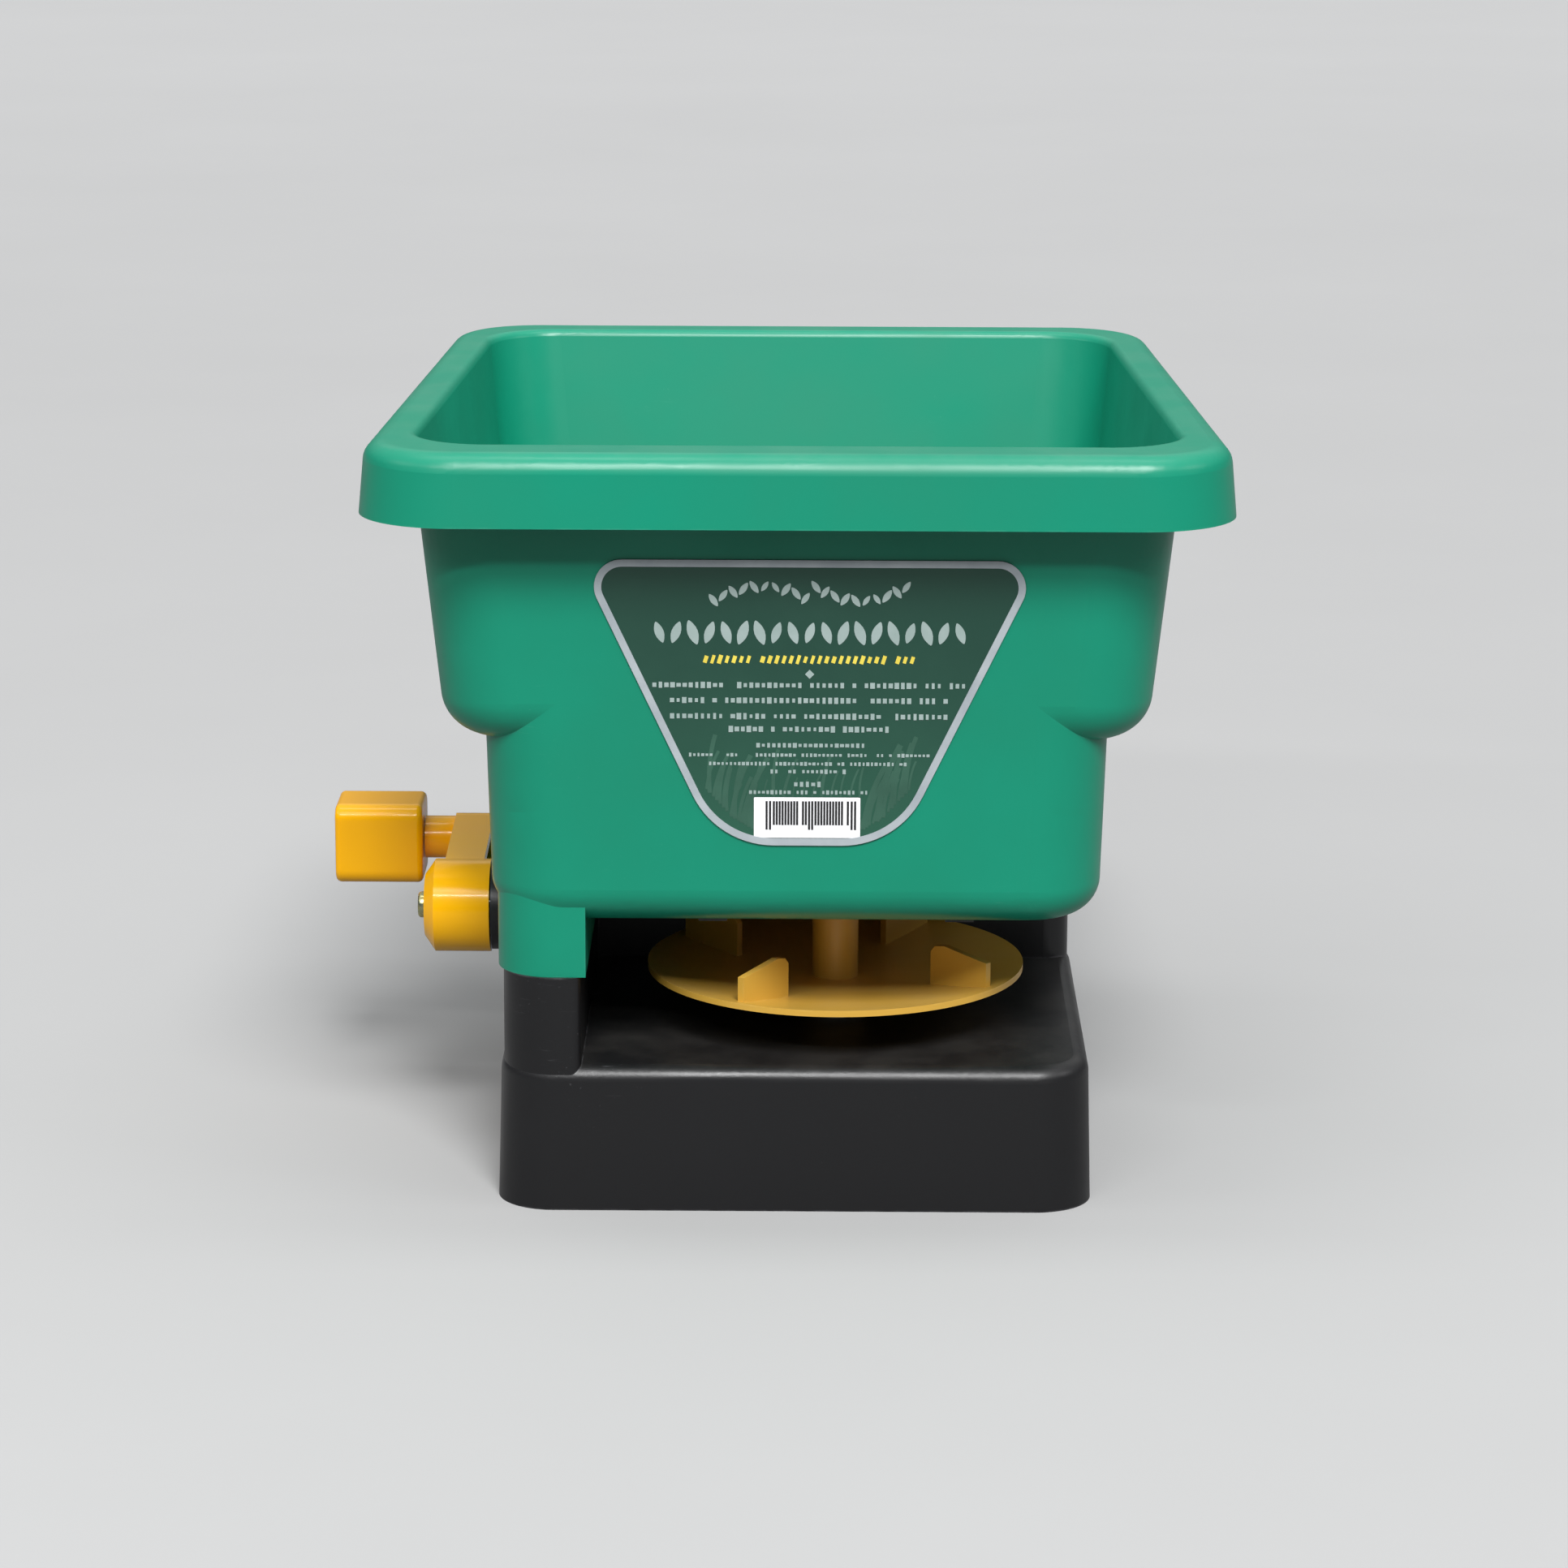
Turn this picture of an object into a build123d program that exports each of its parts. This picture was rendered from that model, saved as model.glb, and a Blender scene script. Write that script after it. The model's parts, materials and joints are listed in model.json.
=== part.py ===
from build123d import *

import math
import os

# Hand-held broadcast spreader.
# Frame: +X to the operator-facing right of the front view, +Y back towards the handle, +Z up.
# Origin: on the ground, in the middle of the base's footprint.  All sizes in millimetres.

# ---- Base ----
BASE_HALF_X = 88.4
BASE_FRONT = -75.0
BASE_REAR = 75.0
BASE_CORNER_R = 17.0
BASE_DRAFT_DEG = 1.6
DECK_Z = 44.0
DECK_EDGE_R = 4.5
BASE_WALL = 2.6
COLUMN_INNER_X = -63.0
COLUMN_TOP_Z = 78.0
REAR_WALL_FRONT = 47.0
REAR_WALL_HALF_X = 87.2
COVER_BOTTOM_Z = 2.0
COVER_TOP_Z = 4.4

# ---- Hopper ----
WALL = 2.4
FLOOR_Z = 87.0
FLOOR_TOP_Z = FLOOR_Z + WALL
LOWER_HALF_X = 89.6
LOWER_TOP_HALF_X = 91.8
LOWER_TOP_Z = 160.0
LOWER_CORNER_R = 22.0
LOWER_EDGE_R = 11.0
STEP_Z = 140.6
STEP_HALF_X = 104.6
STEP_EDGE_R = 13.0
RIM_Z = 229.5
TUB_TOP_HALF_X = 114.4
TUB_CORNER_R = 24.0
TUB_REAR_LOW = 128.0
TUB_REAR_TOP = 146.0
TAPER_PER_MM = 0.0592
RIM_FRONT = -92.0
RIM_REAR = 159.0
RIM_HALF_X = 126.4
RIM_SKIRT_HALF_X = 128.2
RIM_SKIRT_Z = 208.5
RIM_CORNER_R = 28.0
RIM_ROLL_R = 6.0
RIM_WALL = 2.6
RIM_INNER_R = 2.5

# ---- Gear housing skirt under the hopper's left side ----
SKIRT_LEFT = -88.0
SKIRT_RIGHT = -61.5
SKIRT_FRONT = -73.4
SKIRT_BOTTOM_Z = 71.0
SKIRT_CORNER_R = 17.0

# ---- Spindle, impeller and agitator ----
SPINDLE_X = 12.0
SPINDLE_Y = -13.0
SPINDLE_R = 3.0
RUNNING_GAP = 0.05
IMPELLER_R = 57.2
IMPELLER_HUB_R = 7.0
DISH_CENTRE_Z = 53.6
DISH_RIM_Z = 58.4
DISH_WALL = 1.9
VANE_THICKNESS = 2.2
VANE_INNER_R = 33.0
VANE_OUTER_R = 54.0
VANE_ANGLES = (-117.0, -27.0, 63.0, 153.0)
VANE_SWEEP_DEG = 12.0

# ---- Gear train, all spur gears in one plane inside the left column ----
MODULE = 1.25
PRESSURE = math.radians(20.0)
ADDENDUM = 0.9
DEDENDUM = 1.25
BACKLASH = 0.16
CRANK_Y = 8.0
CRANK_Z = 71.0
CROSS_Y = SPINDLE_Y
CROSS_Z = 24.0
DRIVE_TEETH = 22
IDLER_TEETH = 26
CROSS_TEETH = 12
CROWN_TEETH = 22
PINION_TEETH = 10
GEAR_X0 = -82.5
GEAR_X1 = -75.0

# ---- Crank ----
CRANK_HUB_R = 14.3
CRANK_SHAFT_R = 4.0
CRANK_OUTER_X = -114.5
CRANK_INNER_X = -94.2
ARM_RISE_DEG = 10.0
CRANK_RADIUS = 51.0

# ---- Gate and outlets ----
OUTLET_OFFSET = 22.0
OUTLET_LENGTH = 20.0
OUTLET_WIDTH = 8.4
GATE_TRAVEL = 9.5
GATE_Z0 = 83.3
GATE_Z1 = 85.2

# ---- Handle, trigger and arm support ----
HANDLE_HALF_X = 15.0
HANDLE_WALL = 2.6
TRIGGER_Y = 120.0
TRIGGER_Z = 112.0
LINK_PIN_Z = 84.8
DIAL_Y = 97.0
DIAL_Z = 110.0
TROUGH_R = 42.0
TROUGH_Z = 66.0
TROUGH_FRONT = 205.0
TROUGH_REAR = 312.0


# ---- Helpers ----
def block(x0, x1, y0, y1, z0, z1):
    """A box given by its limits."""
    return Pos((x0 + x1) / 2, (y0 + y1) / 2, (z0 + z1) / 2) * Box(x1 - x0, y1 - y0, z1 - z0)


def bar_x(radius, x0, x1, y, z):
    """A cylinder along X."""
    return Pos((x0 + x1) / 2, y, z) * Rot(0, 90, 0) * Cylinder(radius, x1 - x0)


def bar_y(radius, y0, y1, x, z):
    """A cylinder along Y."""
    return Pos(x, (y0 + y1) / 2, z) * Rot(90, 0, 0) * Cylinder(radius, y1 - y0)


def bar_z(radius, z0, z1, x, y):
    """A cylinder along Z."""
    return Pos(x, y, (z0 + z1) / 2) * Cylinder(radius, z1 - z0)


def plan(front_half, rear_half, front, rear, corner, z):
    """A four-sided plan with rounded corners, narrower at the rear, at height z."""
    points = [(-front_half, front), (front_half, front), (rear_half, rear), (-rear_half, rear)]
    outline = make_face(Polyline(*points, close=True))
    return Pos(0, 0, z) * fillet(outline.vertices(), corner)


def side_profile(points, half_width, corner=0.0, large=(), large_corner=0.0):
    """An outline drawn in Y and Z, made solid both ways from the middle, with some corners rounder."""
    outline = Plane.YZ * make_face(Polyline(*points, close=True))
    big = [v for v in outline.vertices() if any(math.dist((v.Y, v.Z), points[k]) < 0.1 for k in large)]
    small = [v for v in outline.vertices() if v not in big]
    if corner:
        outline = fillet(small, corner)
    if big:
        near = [v for v in outline.vertices() if any(math.dist((v.Y, v.Z), (w.Y, w.Z)) < 0.1 for w in big)]
        outline = fillet(near, large_corner)
    return extrude(outline, amount=half_width, both=True)


def right_edge(solid, which):
    """One of a solid's rightmost upright edges, counted from the front."""
    upright = solid.edges().filter_by(Axis.Z)
    corners = [edge for edge in upright if edge.center().X > solid.bounding_box().max.X - 0.01]
    ends = sorted(corners, key=lambda edge: edge.center().Y)
    return ends[which]


def lowest_edges(solid):
    """The edges lying in the lowest plane of a solid."""
    low = solid.bounding_box().min.Z
    return solid.edges().filter_by(lambda e: abs(e.bounding_box().max.Z - low) < 0.01)


def highest_edges(solid):
    """The edges lying in the highest plane of a solid."""
    high = solid.bounding_box().max.Z
    return solid.edges().filter_by(lambda e: abs(e.bounding_box().min.Z - high) < 0.01)


def involute_offset(radius, base_radius):
    """The involute's angle at a radius."""
    if radius <= base_radius:
        return 0.0
    angle = math.acos(base_radius / radius)
    return math.tan(angle) - angle


def gear_face(teeth, phase_deg):
    """A spur gear outline with one tooth centred at phase_deg."""
    pitch_r = MODULE * teeth / 2
    base_r = pitch_r * math.cos(PRESSURE)
    tip_r = pitch_r + ADDENDUM * MODULE
    root_r = pitch_r - DEDENDUM * MODULE
    half_pitch = math.pi / (2 * teeth) - BACKLASH / (2 * pitch_r) + involute_offset(pitch_r, base_r)
    start_r = max(base_r, root_r + 0.2)
    radii = [start_r + (tip_r - start_r) * k / 3 for k in range(4)]
    flank = [(root_r, half_pitch)] + [(r, half_pitch - involute_offset(r, base_r)) for r in radii]
    points = []
    for tooth in range(teeth):
        centre = math.radians(phase_deg) + 2 * math.pi * tooth / teeth
        side = [(r, centre - a) for r, a in flank] + [(r, centre + a) for r, a in reversed(flank)]
        points += [(r * math.cos(a), r * math.sin(a)) for r, a in side]
    return make_face(Polyline(*points, close=True))


def gear_x(teeth, phase_deg, x0, x1, y, z):
    """A spur gear turning about an axis along X."""
    face = Plane(origin=(x0, y, z), x_dir=(0, 1, 0), z_dir=(1, 0, 0)) * gear_face(teeth, phase_deg)
    return extrude(face, amount=x1 - x0)


def train_layout():
    """Idler centre and the phases that put all three spur gears in mesh at rest."""
    drive_r, idler_r, cross_r = (MODULE * t / 2 for t in (DRIVE_TEETH, IDLER_TEETH, CROSS_TEETH))
    reach_a, reach_b = drive_r + idler_r, idler_r + cross_r
    span_y, span_z = CROSS_Y - CRANK_Y, CROSS_Z - CRANK_Z
    span = math.hypot(span_y, span_z)
    along = (reach_a**2 - reach_b**2 + span**2) / (2 * span)
    aside = math.sqrt(reach_a**2 - along**2)
    unit_y, unit_z = span_y / span, span_z / span
    idler = (CRANK_Y + along * unit_y - aside * unit_z, CRANK_Z + along * unit_z + aside * unit_y)
    to_idler = math.degrees(math.atan2(idler[1] - CRANK_Z, idler[0] - CRANK_Y))
    to_cross = math.degrees(math.atan2(CROSS_Z - idler[1], CROSS_Y - idler[0]))
    idler_phase = to_idler + 180 + 180 / IDLER_TEETH
    lead = (idler_phase - to_cross + 180 / IDLER_TEETH) % (360 / IDLER_TEETH) - 180 / IDLER_TEETH
    cross_phase = to_cross + 180 + 180 / CROSS_TEETH - lead * IDLER_TEETH / CROSS_TEETH
    return idler, to_idler, idler_phase, cross_phase


IDLER, DRIVE_PHASE, IDLER_PHASE, CROSS_PHASE = train_layout()
CROWN_R = MODULE * CROWN_TEETH / 2
PINION_PITCH_R = MODULE * PINION_TEETH / 2
CROWN_FACE_X = SPINDLE_X - PINION_PITCH_R
CROWN_ROOT_X = CROWN_FACE_X - DEDENDUM * MODULE
CROWN_HALF_FACE = 1.5
PINION_Z0 = CROSS_Z + CROWN_R - 2.0
PINION_Z1 = CROSS_Z + CROWN_R + 2.0


# ---- Hopper ----
def tub_plan(z, inset):
    """The upper tub's plan at height z, drawn in by inset."""
    share = (z - STEP_Z) / (RIM_Z - STEP_Z)
    front_half = STEP_HALF_X + share * (TUB_TOP_HALF_X - STEP_HALF_X) - inset
    rear = TUB_REAR_LOW + share * (TUB_REAR_TOP - TUB_REAR_LOW) - inset
    front = BASE_FRONT + inset
    rear_half = front_half - TAPER_PER_MM * (rear - front)
    return plan(front_half, rear_half, front, rear, TUB_CORNER_R - inset, z)


def upper_tub(inset, top):
    """The upper tub as a solid, rounded underneath."""
    tub = loft([tub_plan(STEP_Z + inset, inset), tub_plan(top, inset)])
    return fillet(lowest_edges(tub), STEP_EDGE_R - inset)


def lower_tub(inset):
    """The lower tub as a solid, rounded underneath and rising into the upper one."""
    rear = BASE_REAR - inset
    front = BASE_FRONT + inset
    low_half = LOWER_HALF_X - inset
    high_half = LOWER_TOP_HALF_X - inset
    corner = LOWER_CORNER_R - inset
    low = plan(low_half, low_half, front, rear, corner, FLOOR_Z + inset)
    high = plan(high_half, high_half, front, rear + 1.6, corner, LOWER_TOP_Z)
    return fillet(lowest_edges(loft([low, high])), LOWER_EDGE_R - inset)


def rim_block(inset, bottom, top):
    """The rim's outside as a solid."""
    share = (top - RIM_SKIRT_Z) / (RIM_Z - RIM_SKIRT_Z)
    faces = []
    for z, part in ((bottom, 0.0), (top, share)):
        half = RIM_SKIRT_HALF_X + part * (RIM_HALF_X - RIM_SKIRT_HALF_X) - inset
        grow = 1.6 * (1 - part)
        front = RIM_FRONT - grow + inset
        rear = RIM_REAR + grow - inset
        rear_half = half - TAPER_PER_MM * (rear - front)
        faces.append(plan(half, rear_half, front, rear, RIM_CORNER_R - inset, z))
    return loft(faces)


def inner_rim_edges(body):
    """The edges around the hopper's mouth, on the inside of the rim."""
    reach = TUB_TOP_HALF_X - WALL + 0.3

    def at_mouth(edge):
        box = edge.bounding_box()
        inside = max(abs(box.min.X), abs(box.max.X)) < reach and box.min.Y > BASE_FRONT + WALL - 0.3
        return box.min.Z > RIM_Z - 0.01 and inside and box.max.Y < TUB_REAR_TOP - WALL + 0.3

    return body.edges().filter_by(at_mouth)


def hopper():
    """Open tub with a rolled rim, a stepped lower half and the gear housing skirt."""
    inner = upper_tub(WALL, RIM_Z + 1) + lower_tub(WALL)
    rim = rim_block(0, RIM_SKIRT_Z, RIM_Z)
    rim = fillet(highest_edges(rim), RIM_ROLL_R)
    rim -= fillet(highest_edges(rim_block(RIM_WALL, RIM_SKIRT_Z - 1, RIM_Z - RIM_WALL)), RIM_ROLL_R - 2.4)
    skirt = block(SKIRT_LEFT, SKIRT_RIGHT, SKIRT_FRONT, BASE_REAR - 2, SKIRT_BOTTOM_Z, FLOOR_Z + 14)
    skirt = fillet(skirt.edges().filter_by(Axis.Z).sort_by(Axis.X)[:2], SKIRT_CORNER_R)
    body = rim + upper_tub(0, RIM_Z) + lower_tub(0) + skirt
    body -= inner
    body = fillet(inner_rim_edges(body), RIM_INNER_R)
    pocket_l, pocket_r = SKIRT_LEFT + WALL, SKIRT_RIGHT - WALL
    pocket = block(pocket_l, pocket_r, SKIRT_FRONT + WALL, BASE_REAR - 2 - WALL, SKIRT_BOTTOM_Z - 1, FLOOR_Z)
    pocket = fillet(pocket.edges().filter_by(Axis.Z).sort_by(Axis.X)[:2], SKIRT_CORNER_R - WALL)
    body -= pocket
    body -= bar_x(7.05, SKIRT_LEFT - 1, pocket_l + 2, CRANK_Y, CRANK_Z)
    body -= bar_x(CRANK_SHAFT_R + RUNNING_GAP, pocket_r - 1, SKIRT_RIGHT + 1, CRANK_Y, CRANK_Z)
    body -= bar_z(5.05, FLOOR_Z - 1, FLOOR_TOP_Z + 1, SPINDLE_X, SPINDLE_Y)
    for side in (-1, 1):
        x = SPINDLE_X + side * OUTLET_OFFSET
        body -= Pos(x, SPINDLE_Y, FLOOR_Z) * extrude(SlotOverall(OUTLET_LENGTH, OUTLET_WIDTH), 10, both=True)
    for x, y in HOPPER_SCREWS:
        body -= bar_z(1.8, FLOOR_Z - 1, FLOOR_TOP_Z + 1, x, y)
    for x in (-9, 9):
        body -= bar_y(1.8, BASE_REAR - 6, BASE_REAR + 4, x, 114)
    return body


HOPPER_SCREWS = ((-72.5, -48.0), (-72.5, 55.0), (-32.0, 60.0), (56.0, 60.0))


# ---- Base ----
def base_body(inset, deck_z, edge_r):
    """The low box of the base as a solid with drafted sides."""
    low = BASE_HALF_X - inset
    lean = math.tan(math.radians(BASE_DRAFT_DEG)) * deck_z
    faces = []
    for z, draw in ((-1.0 if inset else 0.0, 0.0), (deck_z, lean)):
        half = low - draw
        front = BASE_FRONT + inset - (lean - draw) * 0.4
        faces.append(plan(half, half, front, BASE_REAR - inset, BASE_CORNER_R - inset, z))
    body = loft(faces)
    return fillet(highest_edges(body), edge_r) if edge_r else body


def base_shell():
    """Base box with a raised left column and rear wall, hollow from below."""
    column = block(-86.4, COLUMN_INNER_X, BASE_FRONT + 0.4, BASE_REAR - 2, 1, SKIRT_BOTTOM_Z)
    column = fillet(column.edges().filter_by(Axis.Z).sort_by(Axis.X)[:2], 16)
    column = fillet(column.edges().filter_by(Axis.Z).sort_by(Axis.X)[-2:], 3)
    spigot_l, spigot_r = SKIRT_LEFT + WALL + 0.15, SKIRT_RIGHT - WALL - 0.15
    spigot = block(spigot_l, spigot_r, SKIRT_FRONT + WALL + 0.15, 70.0, 60, COLUMN_TOP_Z)
    spigot = fillet(spigot.edges().filter_by(Axis.Z).sort_by(Axis.X)[:2], 14)
    rear = block(-60.9, REAR_WALL_HALF_X - 1, REAR_WALL_FRONT, BASE_REAR - 0.5, 40, FLOOR_Z)
    rear = fillet(right_edge(rear, 0), 8)
    rear = fillet(right_edge(rear, -1), 16)
    rear += block(-70, -50, REAR_WALL_FRONT, BASE_REAR - 2.5, 40, SKIRT_BOTTOM_Z)
    body = base_body(0, DECK_Z, DECK_EDGE_R) + column + spigot + rear
    hollow = base_body(BASE_WALL, DECK_Z - BASE_WALL, 2)
    shaft_space = block(spigot_l + 2, spigot_r - 2, SKIRT_FRONT + WALL + 2.2, 68.0, 20, COLUMN_TOP_Z + 1)
    hollow += fillet(shaft_space.edges().filter_by(Axis.Z).sort_by(Axis.X)[:2], 12)
    wall_space = block(-58, REAR_WALL_HALF_X - 4, REAR_WALL_FRONT + 2.6, BASE_REAR - 3.2, 38, FLOOR_Z - 2.6)
    wall_space = fillet(right_edge(wall_space, 0), 5)
    hollow += fillet(right_edge(wall_space, -1), 13)
    body -= hollow
    for x, y in HOPPER_SCREWS:
        top = FLOOR_Z
        wall_x = -84 if x < -60 else x
        post = bar_z(4.5, 40, top, x, y)
        if x < -60:
            post += block(wall_x, x, y - 1.2, y + 1.2, 40, COLUMN_TOP_Z)
        body += post
        body -= bar_z(1.4, top - 12, top + 1, x, y)
    for x, y in COVER_SCREWS:
        wall_x = math.copysign(86.0, x)
        body += bar_z(4.5, COVER_TOP_Z, DECK_Z - 4, x, y)
        body += block(min(x, wall_x), max(x, wall_x), y - 1.2, y + 1.2, COVER_TOP_Z + 4, DECK_Z - 8)
        body -= bar_z(1.4, COVER_TOP_Z - 1, COVER_TOP_Z + 11, x, y)
    body += bar_x(7.0, -84.5, GEAR_X0 - 0.4, IDLER[0], IDLER[1]) + bar_x(6.0, -85.5, GEAR_X0 - 0.4, CROSS_Y, CROSS_Z)
    body -= bar_x(2.55, -84.8, -60, IDLER[0], IDLER[1])
    body -= bar_x(SPINDLE_R + RUNNING_GAP, -84.8, -60, CROSS_Y, CROSS_Z)
    body -= bar_x(7.05, -90, -80, CRANK_Y, CRANK_Z)
    body -= bar_x(CRANK_SHAFT_R + RUNNING_GAP, -70, -60, CRANK_Y, CRANK_Z)
    body -= bar_z(6.05, 38, DECK_Z + 1, SPINDLE_X, SPINDLE_Y)
    body -= block(-9, 9, REAR_WALL_FRONT - 1, BASE_REAR + 1, GATE_Z0 - 5.4, FLOOR_Z + 1)
    return body


COVER_SCREWS = ((-68.0, -62.0), (-68.0, 62.0), (72.0, 60.0), (72.0, -60.0))


def bottom_cover():
    """Plate closing the base, with the bearing post and the spindle's foot socket."""
    gap = BASE_WALL + 0.35
    half = BASE_HALF_X - gap - 0.3
    outline = plan(half, half, BASE_FRONT + gap + 0.2, BASE_REAR - gap, BASE_CORNER_R - gap, COVER_BOTTOM_Z)
    cover = extrude(outline, COVER_TOP_Z - COVER_BOTTOM_Z)
    post = block(-14, -8, CROSS_Y - 7, CROSS_Y + 7, COVER_TOP_Z, CROSS_Z)
    post += bar_x(7.0, -14, -8, CROSS_Y, CROSS_Z)
    cover += post - bar_x(SPINDLE_R + RUNNING_GAP, -20, 0, CROSS_Y, CROSS_Z)
    cover += bar_z(5.6, COVER_BOTTOM_Z, 8.2, SPINDLE_X, SPINDLE_Y)
    cover -= bar_z(SPINDLE_R + RUNNING_GAP, 4.0, 10, SPINDLE_X, SPINDLE_Y)
    for x, y in COVER_SCREWS:
        cover -= bar_z(1.8, 0, 6, x, y)
    return cover


def pan_screw(head_r, head_h, shank_r, shank_len):
    """A pan-head screw pointing down, its head's underside at z = 0, with a cross recess."""
    head = Pos(0, 0, head_h / 2) * Cylinder(head_r, head_h)
    head = fillet(highest_edges(head), head_h * 0.45)
    cross = Box(head_r * 1.2, head_r * 0.3, head_h) + Box(head_r * 0.3, head_r * 1.2, head_h)
    head -= Pos(0, 0, head_h) * cross
    return head + Pos(0, 0, -shank_len / 2) * Cylinder(shank_r, shank_len)


def hopper_screws():
    """Screws holding the hopper to the base, put in from inside the hopper."""
    screw = pan_screw(3.4, 2.2, 1.35, 12)
    return [Pos(x, y, FLOOR_TOP_Z) * screw for x, y in HOPPER_SCREWS]


def cover_screws():
    """Screws holding the bottom cover, heads downwards and clear of the ground."""
    screw = Rot(180, 0, 0) * pan_screw(3.2, 1.6, 1.35, 10)
    return [Pos(x, y, COVER_BOTTOM_Z) * screw for x, y in COVER_SCREWS]


# ---- Gear train ----
def drive_gear():
    """Gear on the crank's shaft."""
    gear = gear_x(DRIVE_TEETH, DRIVE_PHASE, GEAR_X0, GEAR_X1, CRANK_Y, CRANK_Z)
    return gear - bar_x(CRANK_SHAFT_R + 0.02, -90, -60, CRANK_Y, CRANK_Z)


def idler_gear():
    """Idler between the crank's gear and the cross shaft's gear."""
    gear = gear_x(IDLER_TEETH, IDLER_PHASE, GEAR_X0, GEAR_X1, *IDLER)
    ring = bar_x(12.0, GEAR_X1 - 2, GEAR_X1 + 1, *IDLER) - bar_x(7.0, GEAR_X1 - 2, GEAR_X1 + 1, *IDLER)
    return gear - ring - bar_x(2.5 + RUNNING_GAP, -90, -60, *IDLER)


def idler_pin():
    """Steel pin the idler turns on."""
    return bar_x(2.5, -84.6, -62.0, *IDLER)


def cross_gear():
    """Small gear on the cross shaft."""
    gear = gear_x(CROSS_TEETH, CROSS_PHASE, GEAR_X0, GEAR_X1, CROSS_Y, CROSS_Z)
    return gear - bar_x(SPINDLE_R + 0.02, -90, -60, CROSS_Y, CROSS_Z)


def cross_shaft():
    """Steel shaft carrying the drive under the deck."""
    return bar_x(SPINDLE_R, -84.6, 4.0, CROSS_Y, CROSS_Z)


def crown_gear():
    """Crown gear on the cross shaft, teeth facing the spindle."""
    disc = bar_x(CROWN_R + CROWN_HALF_FACE, CROWN_ROOT_X - 4, CROWN_ROOT_X, CROSS_Y, CROSS_Z)
    disc += bar_x(6.5, CROWN_ROOT_X - 6.5, CROWN_ROOT_X, CROSS_Y, CROSS_Z)
    half_tooth = 0.36 * math.pi * MODULE / 2
    tip = ADDENDUM * MODULE * 0.85
    root = DEDENDUM * MODULE + 0.2
    lean = math.tan(PRESSURE)
    profile = [
        (-root, -half_tooth - root * lean),
        (tip, -half_tooth + tip * lean),
        (tip, half_tooth - tip * lean),
        (-root, half_tooth + root * lean),
    ]
    tooth = extrude(make_face(Polyline(*profile, close=True)), 2 * CROWN_HALF_FACE)
    tooth = Pos(CROWN_FACE_X, 0, CROWN_R - CROWN_HALF_FACE) * tooth
    teeth = [Rot(360 * k / CROWN_TEETH, 0, 0) * tooth for k in range(CROWN_TEETH)]
    gear = disc + Pos(0, CROSS_Y, CROSS_Z) * Compound(children=[Solid(t.solid().wrapped) for t in teeth])
    return gear - bar_x(SPINDLE_R + 0.02, -20, 20, CROSS_Y, CROSS_Z)


def spindle_pinion():
    """Pinion on the spindle, driven by the crown gear."""
    face = Pos(SPINDLE_X, SPINDLE_Y, PINION_Z0) * gear_face(PINION_TEETH, 180 + 180 / PINION_TEETH)
    return extrude(face, PINION_Z1 - PINION_Z0) - bar_z(SPINDLE_R + 0.02, 0, 60, SPINDLE_X, SPINDLE_Y)


# ---- Spindle group ----
def spindle():
    """Upright steel spindle from the foot socket to the agitator."""
    return bar_z(SPINDLE_R, 4.3, 106.0, SPINDLE_X, SPINDLE_Y)


def deck_bush():
    """Flanged bush in the deck."""
    bush = bar_z(6.0, 40.8, DECK_Z, SPINDLE_X, SPINDLE_Y) + bar_z(9.0, DECK_Z, 45.6, SPINDLE_X, SPINDLE_Y)
    return bush - bar_z(SPINDLE_R + RUNNING_GAP, 30, 60, SPINDLE_X, SPINDLE_Y)


def floor_bush():
    """Flanged bush in the hopper's floor."""
    bush = bar_z(5.0, FLOOR_Z - 0.6, FLOOR_TOP_Z, SPINDLE_X, SPINDLE_Y)
    bush += bar_z(8.0, FLOOR_TOP_Z, FLOOR_TOP_Z + 1.6, SPINDLE_X, SPINDLE_Y)
    return bush - bar_z(SPINDLE_R + RUNNING_GAP, 60, 100, SPINDLE_X, SPINDLE_Y)


def impeller():
    """Dished spreading disc with a tall hub and four swept vanes."""
    outer = IMPELLER_R
    low = ThreePointArc((0, DISH_CENTRE_Z), (outer * 0.6, DISH_CENTRE_Z + 1.5), (outer, DISH_RIM_Z))
    lip = Line((outer, DISH_RIM_Z), (outer, DISH_RIM_Z + DISH_WALL))
    high = ThreePointArc(
        (outer, DISH_RIM_Z + DISH_WALL),
        (outer * 0.6, DISH_CENTRE_Z + DISH_WALL + 1.5),
        (0, DISH_CENTRE_Z + DISH_WALL),
    )
    axis_line = Line((0, DISH_CENTRE_Z + DISH_WALL), (0, DISH_CENTRE_Z))
    dish = revolve(Plane.XZ * make_face(low + lip + high + axis_line), Axis.Z)
    dish += bar_z(9.0, 47.0, DISH_CENTRE_Z + 1, 0, 0) + bar_z(IMPELLER_HUB_R, 50, 80.0, 0, 0)
    profile = [
        (VANE_INNER_R, 55.0),
        (VANE_OUTER_R, 58.6),
        (VANE_OUTER_R, 67.0),
        (VANE_INNER_R + 5, 69.6),
        (VANE_INNER_R + 1.5, 69.0),
        (VANE_INNER_R, 67.2),
    ]
    vane = extrude(Plane.XZ * make_face(Polyline(*profile, close=True)), VANE_THICKNESS / 2, both=True)
    vane = Pos(VANE_INNER_R, 0, 0) * Rot(0, 0, -VANE_SWEEP_DEG) * Pos(-VANE_INNER_R, 0, 0) * vane
    for angle in VANE_ANGLES:
        dish += Rot(0, 0, angle - 90) * vane
    dish -= bar_z(SPINDLE_R + 0.02, 40, 90, 0, 0)
    return Pos(SPINDLE_X, SPINDLE_Y, 0) * dish


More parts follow.
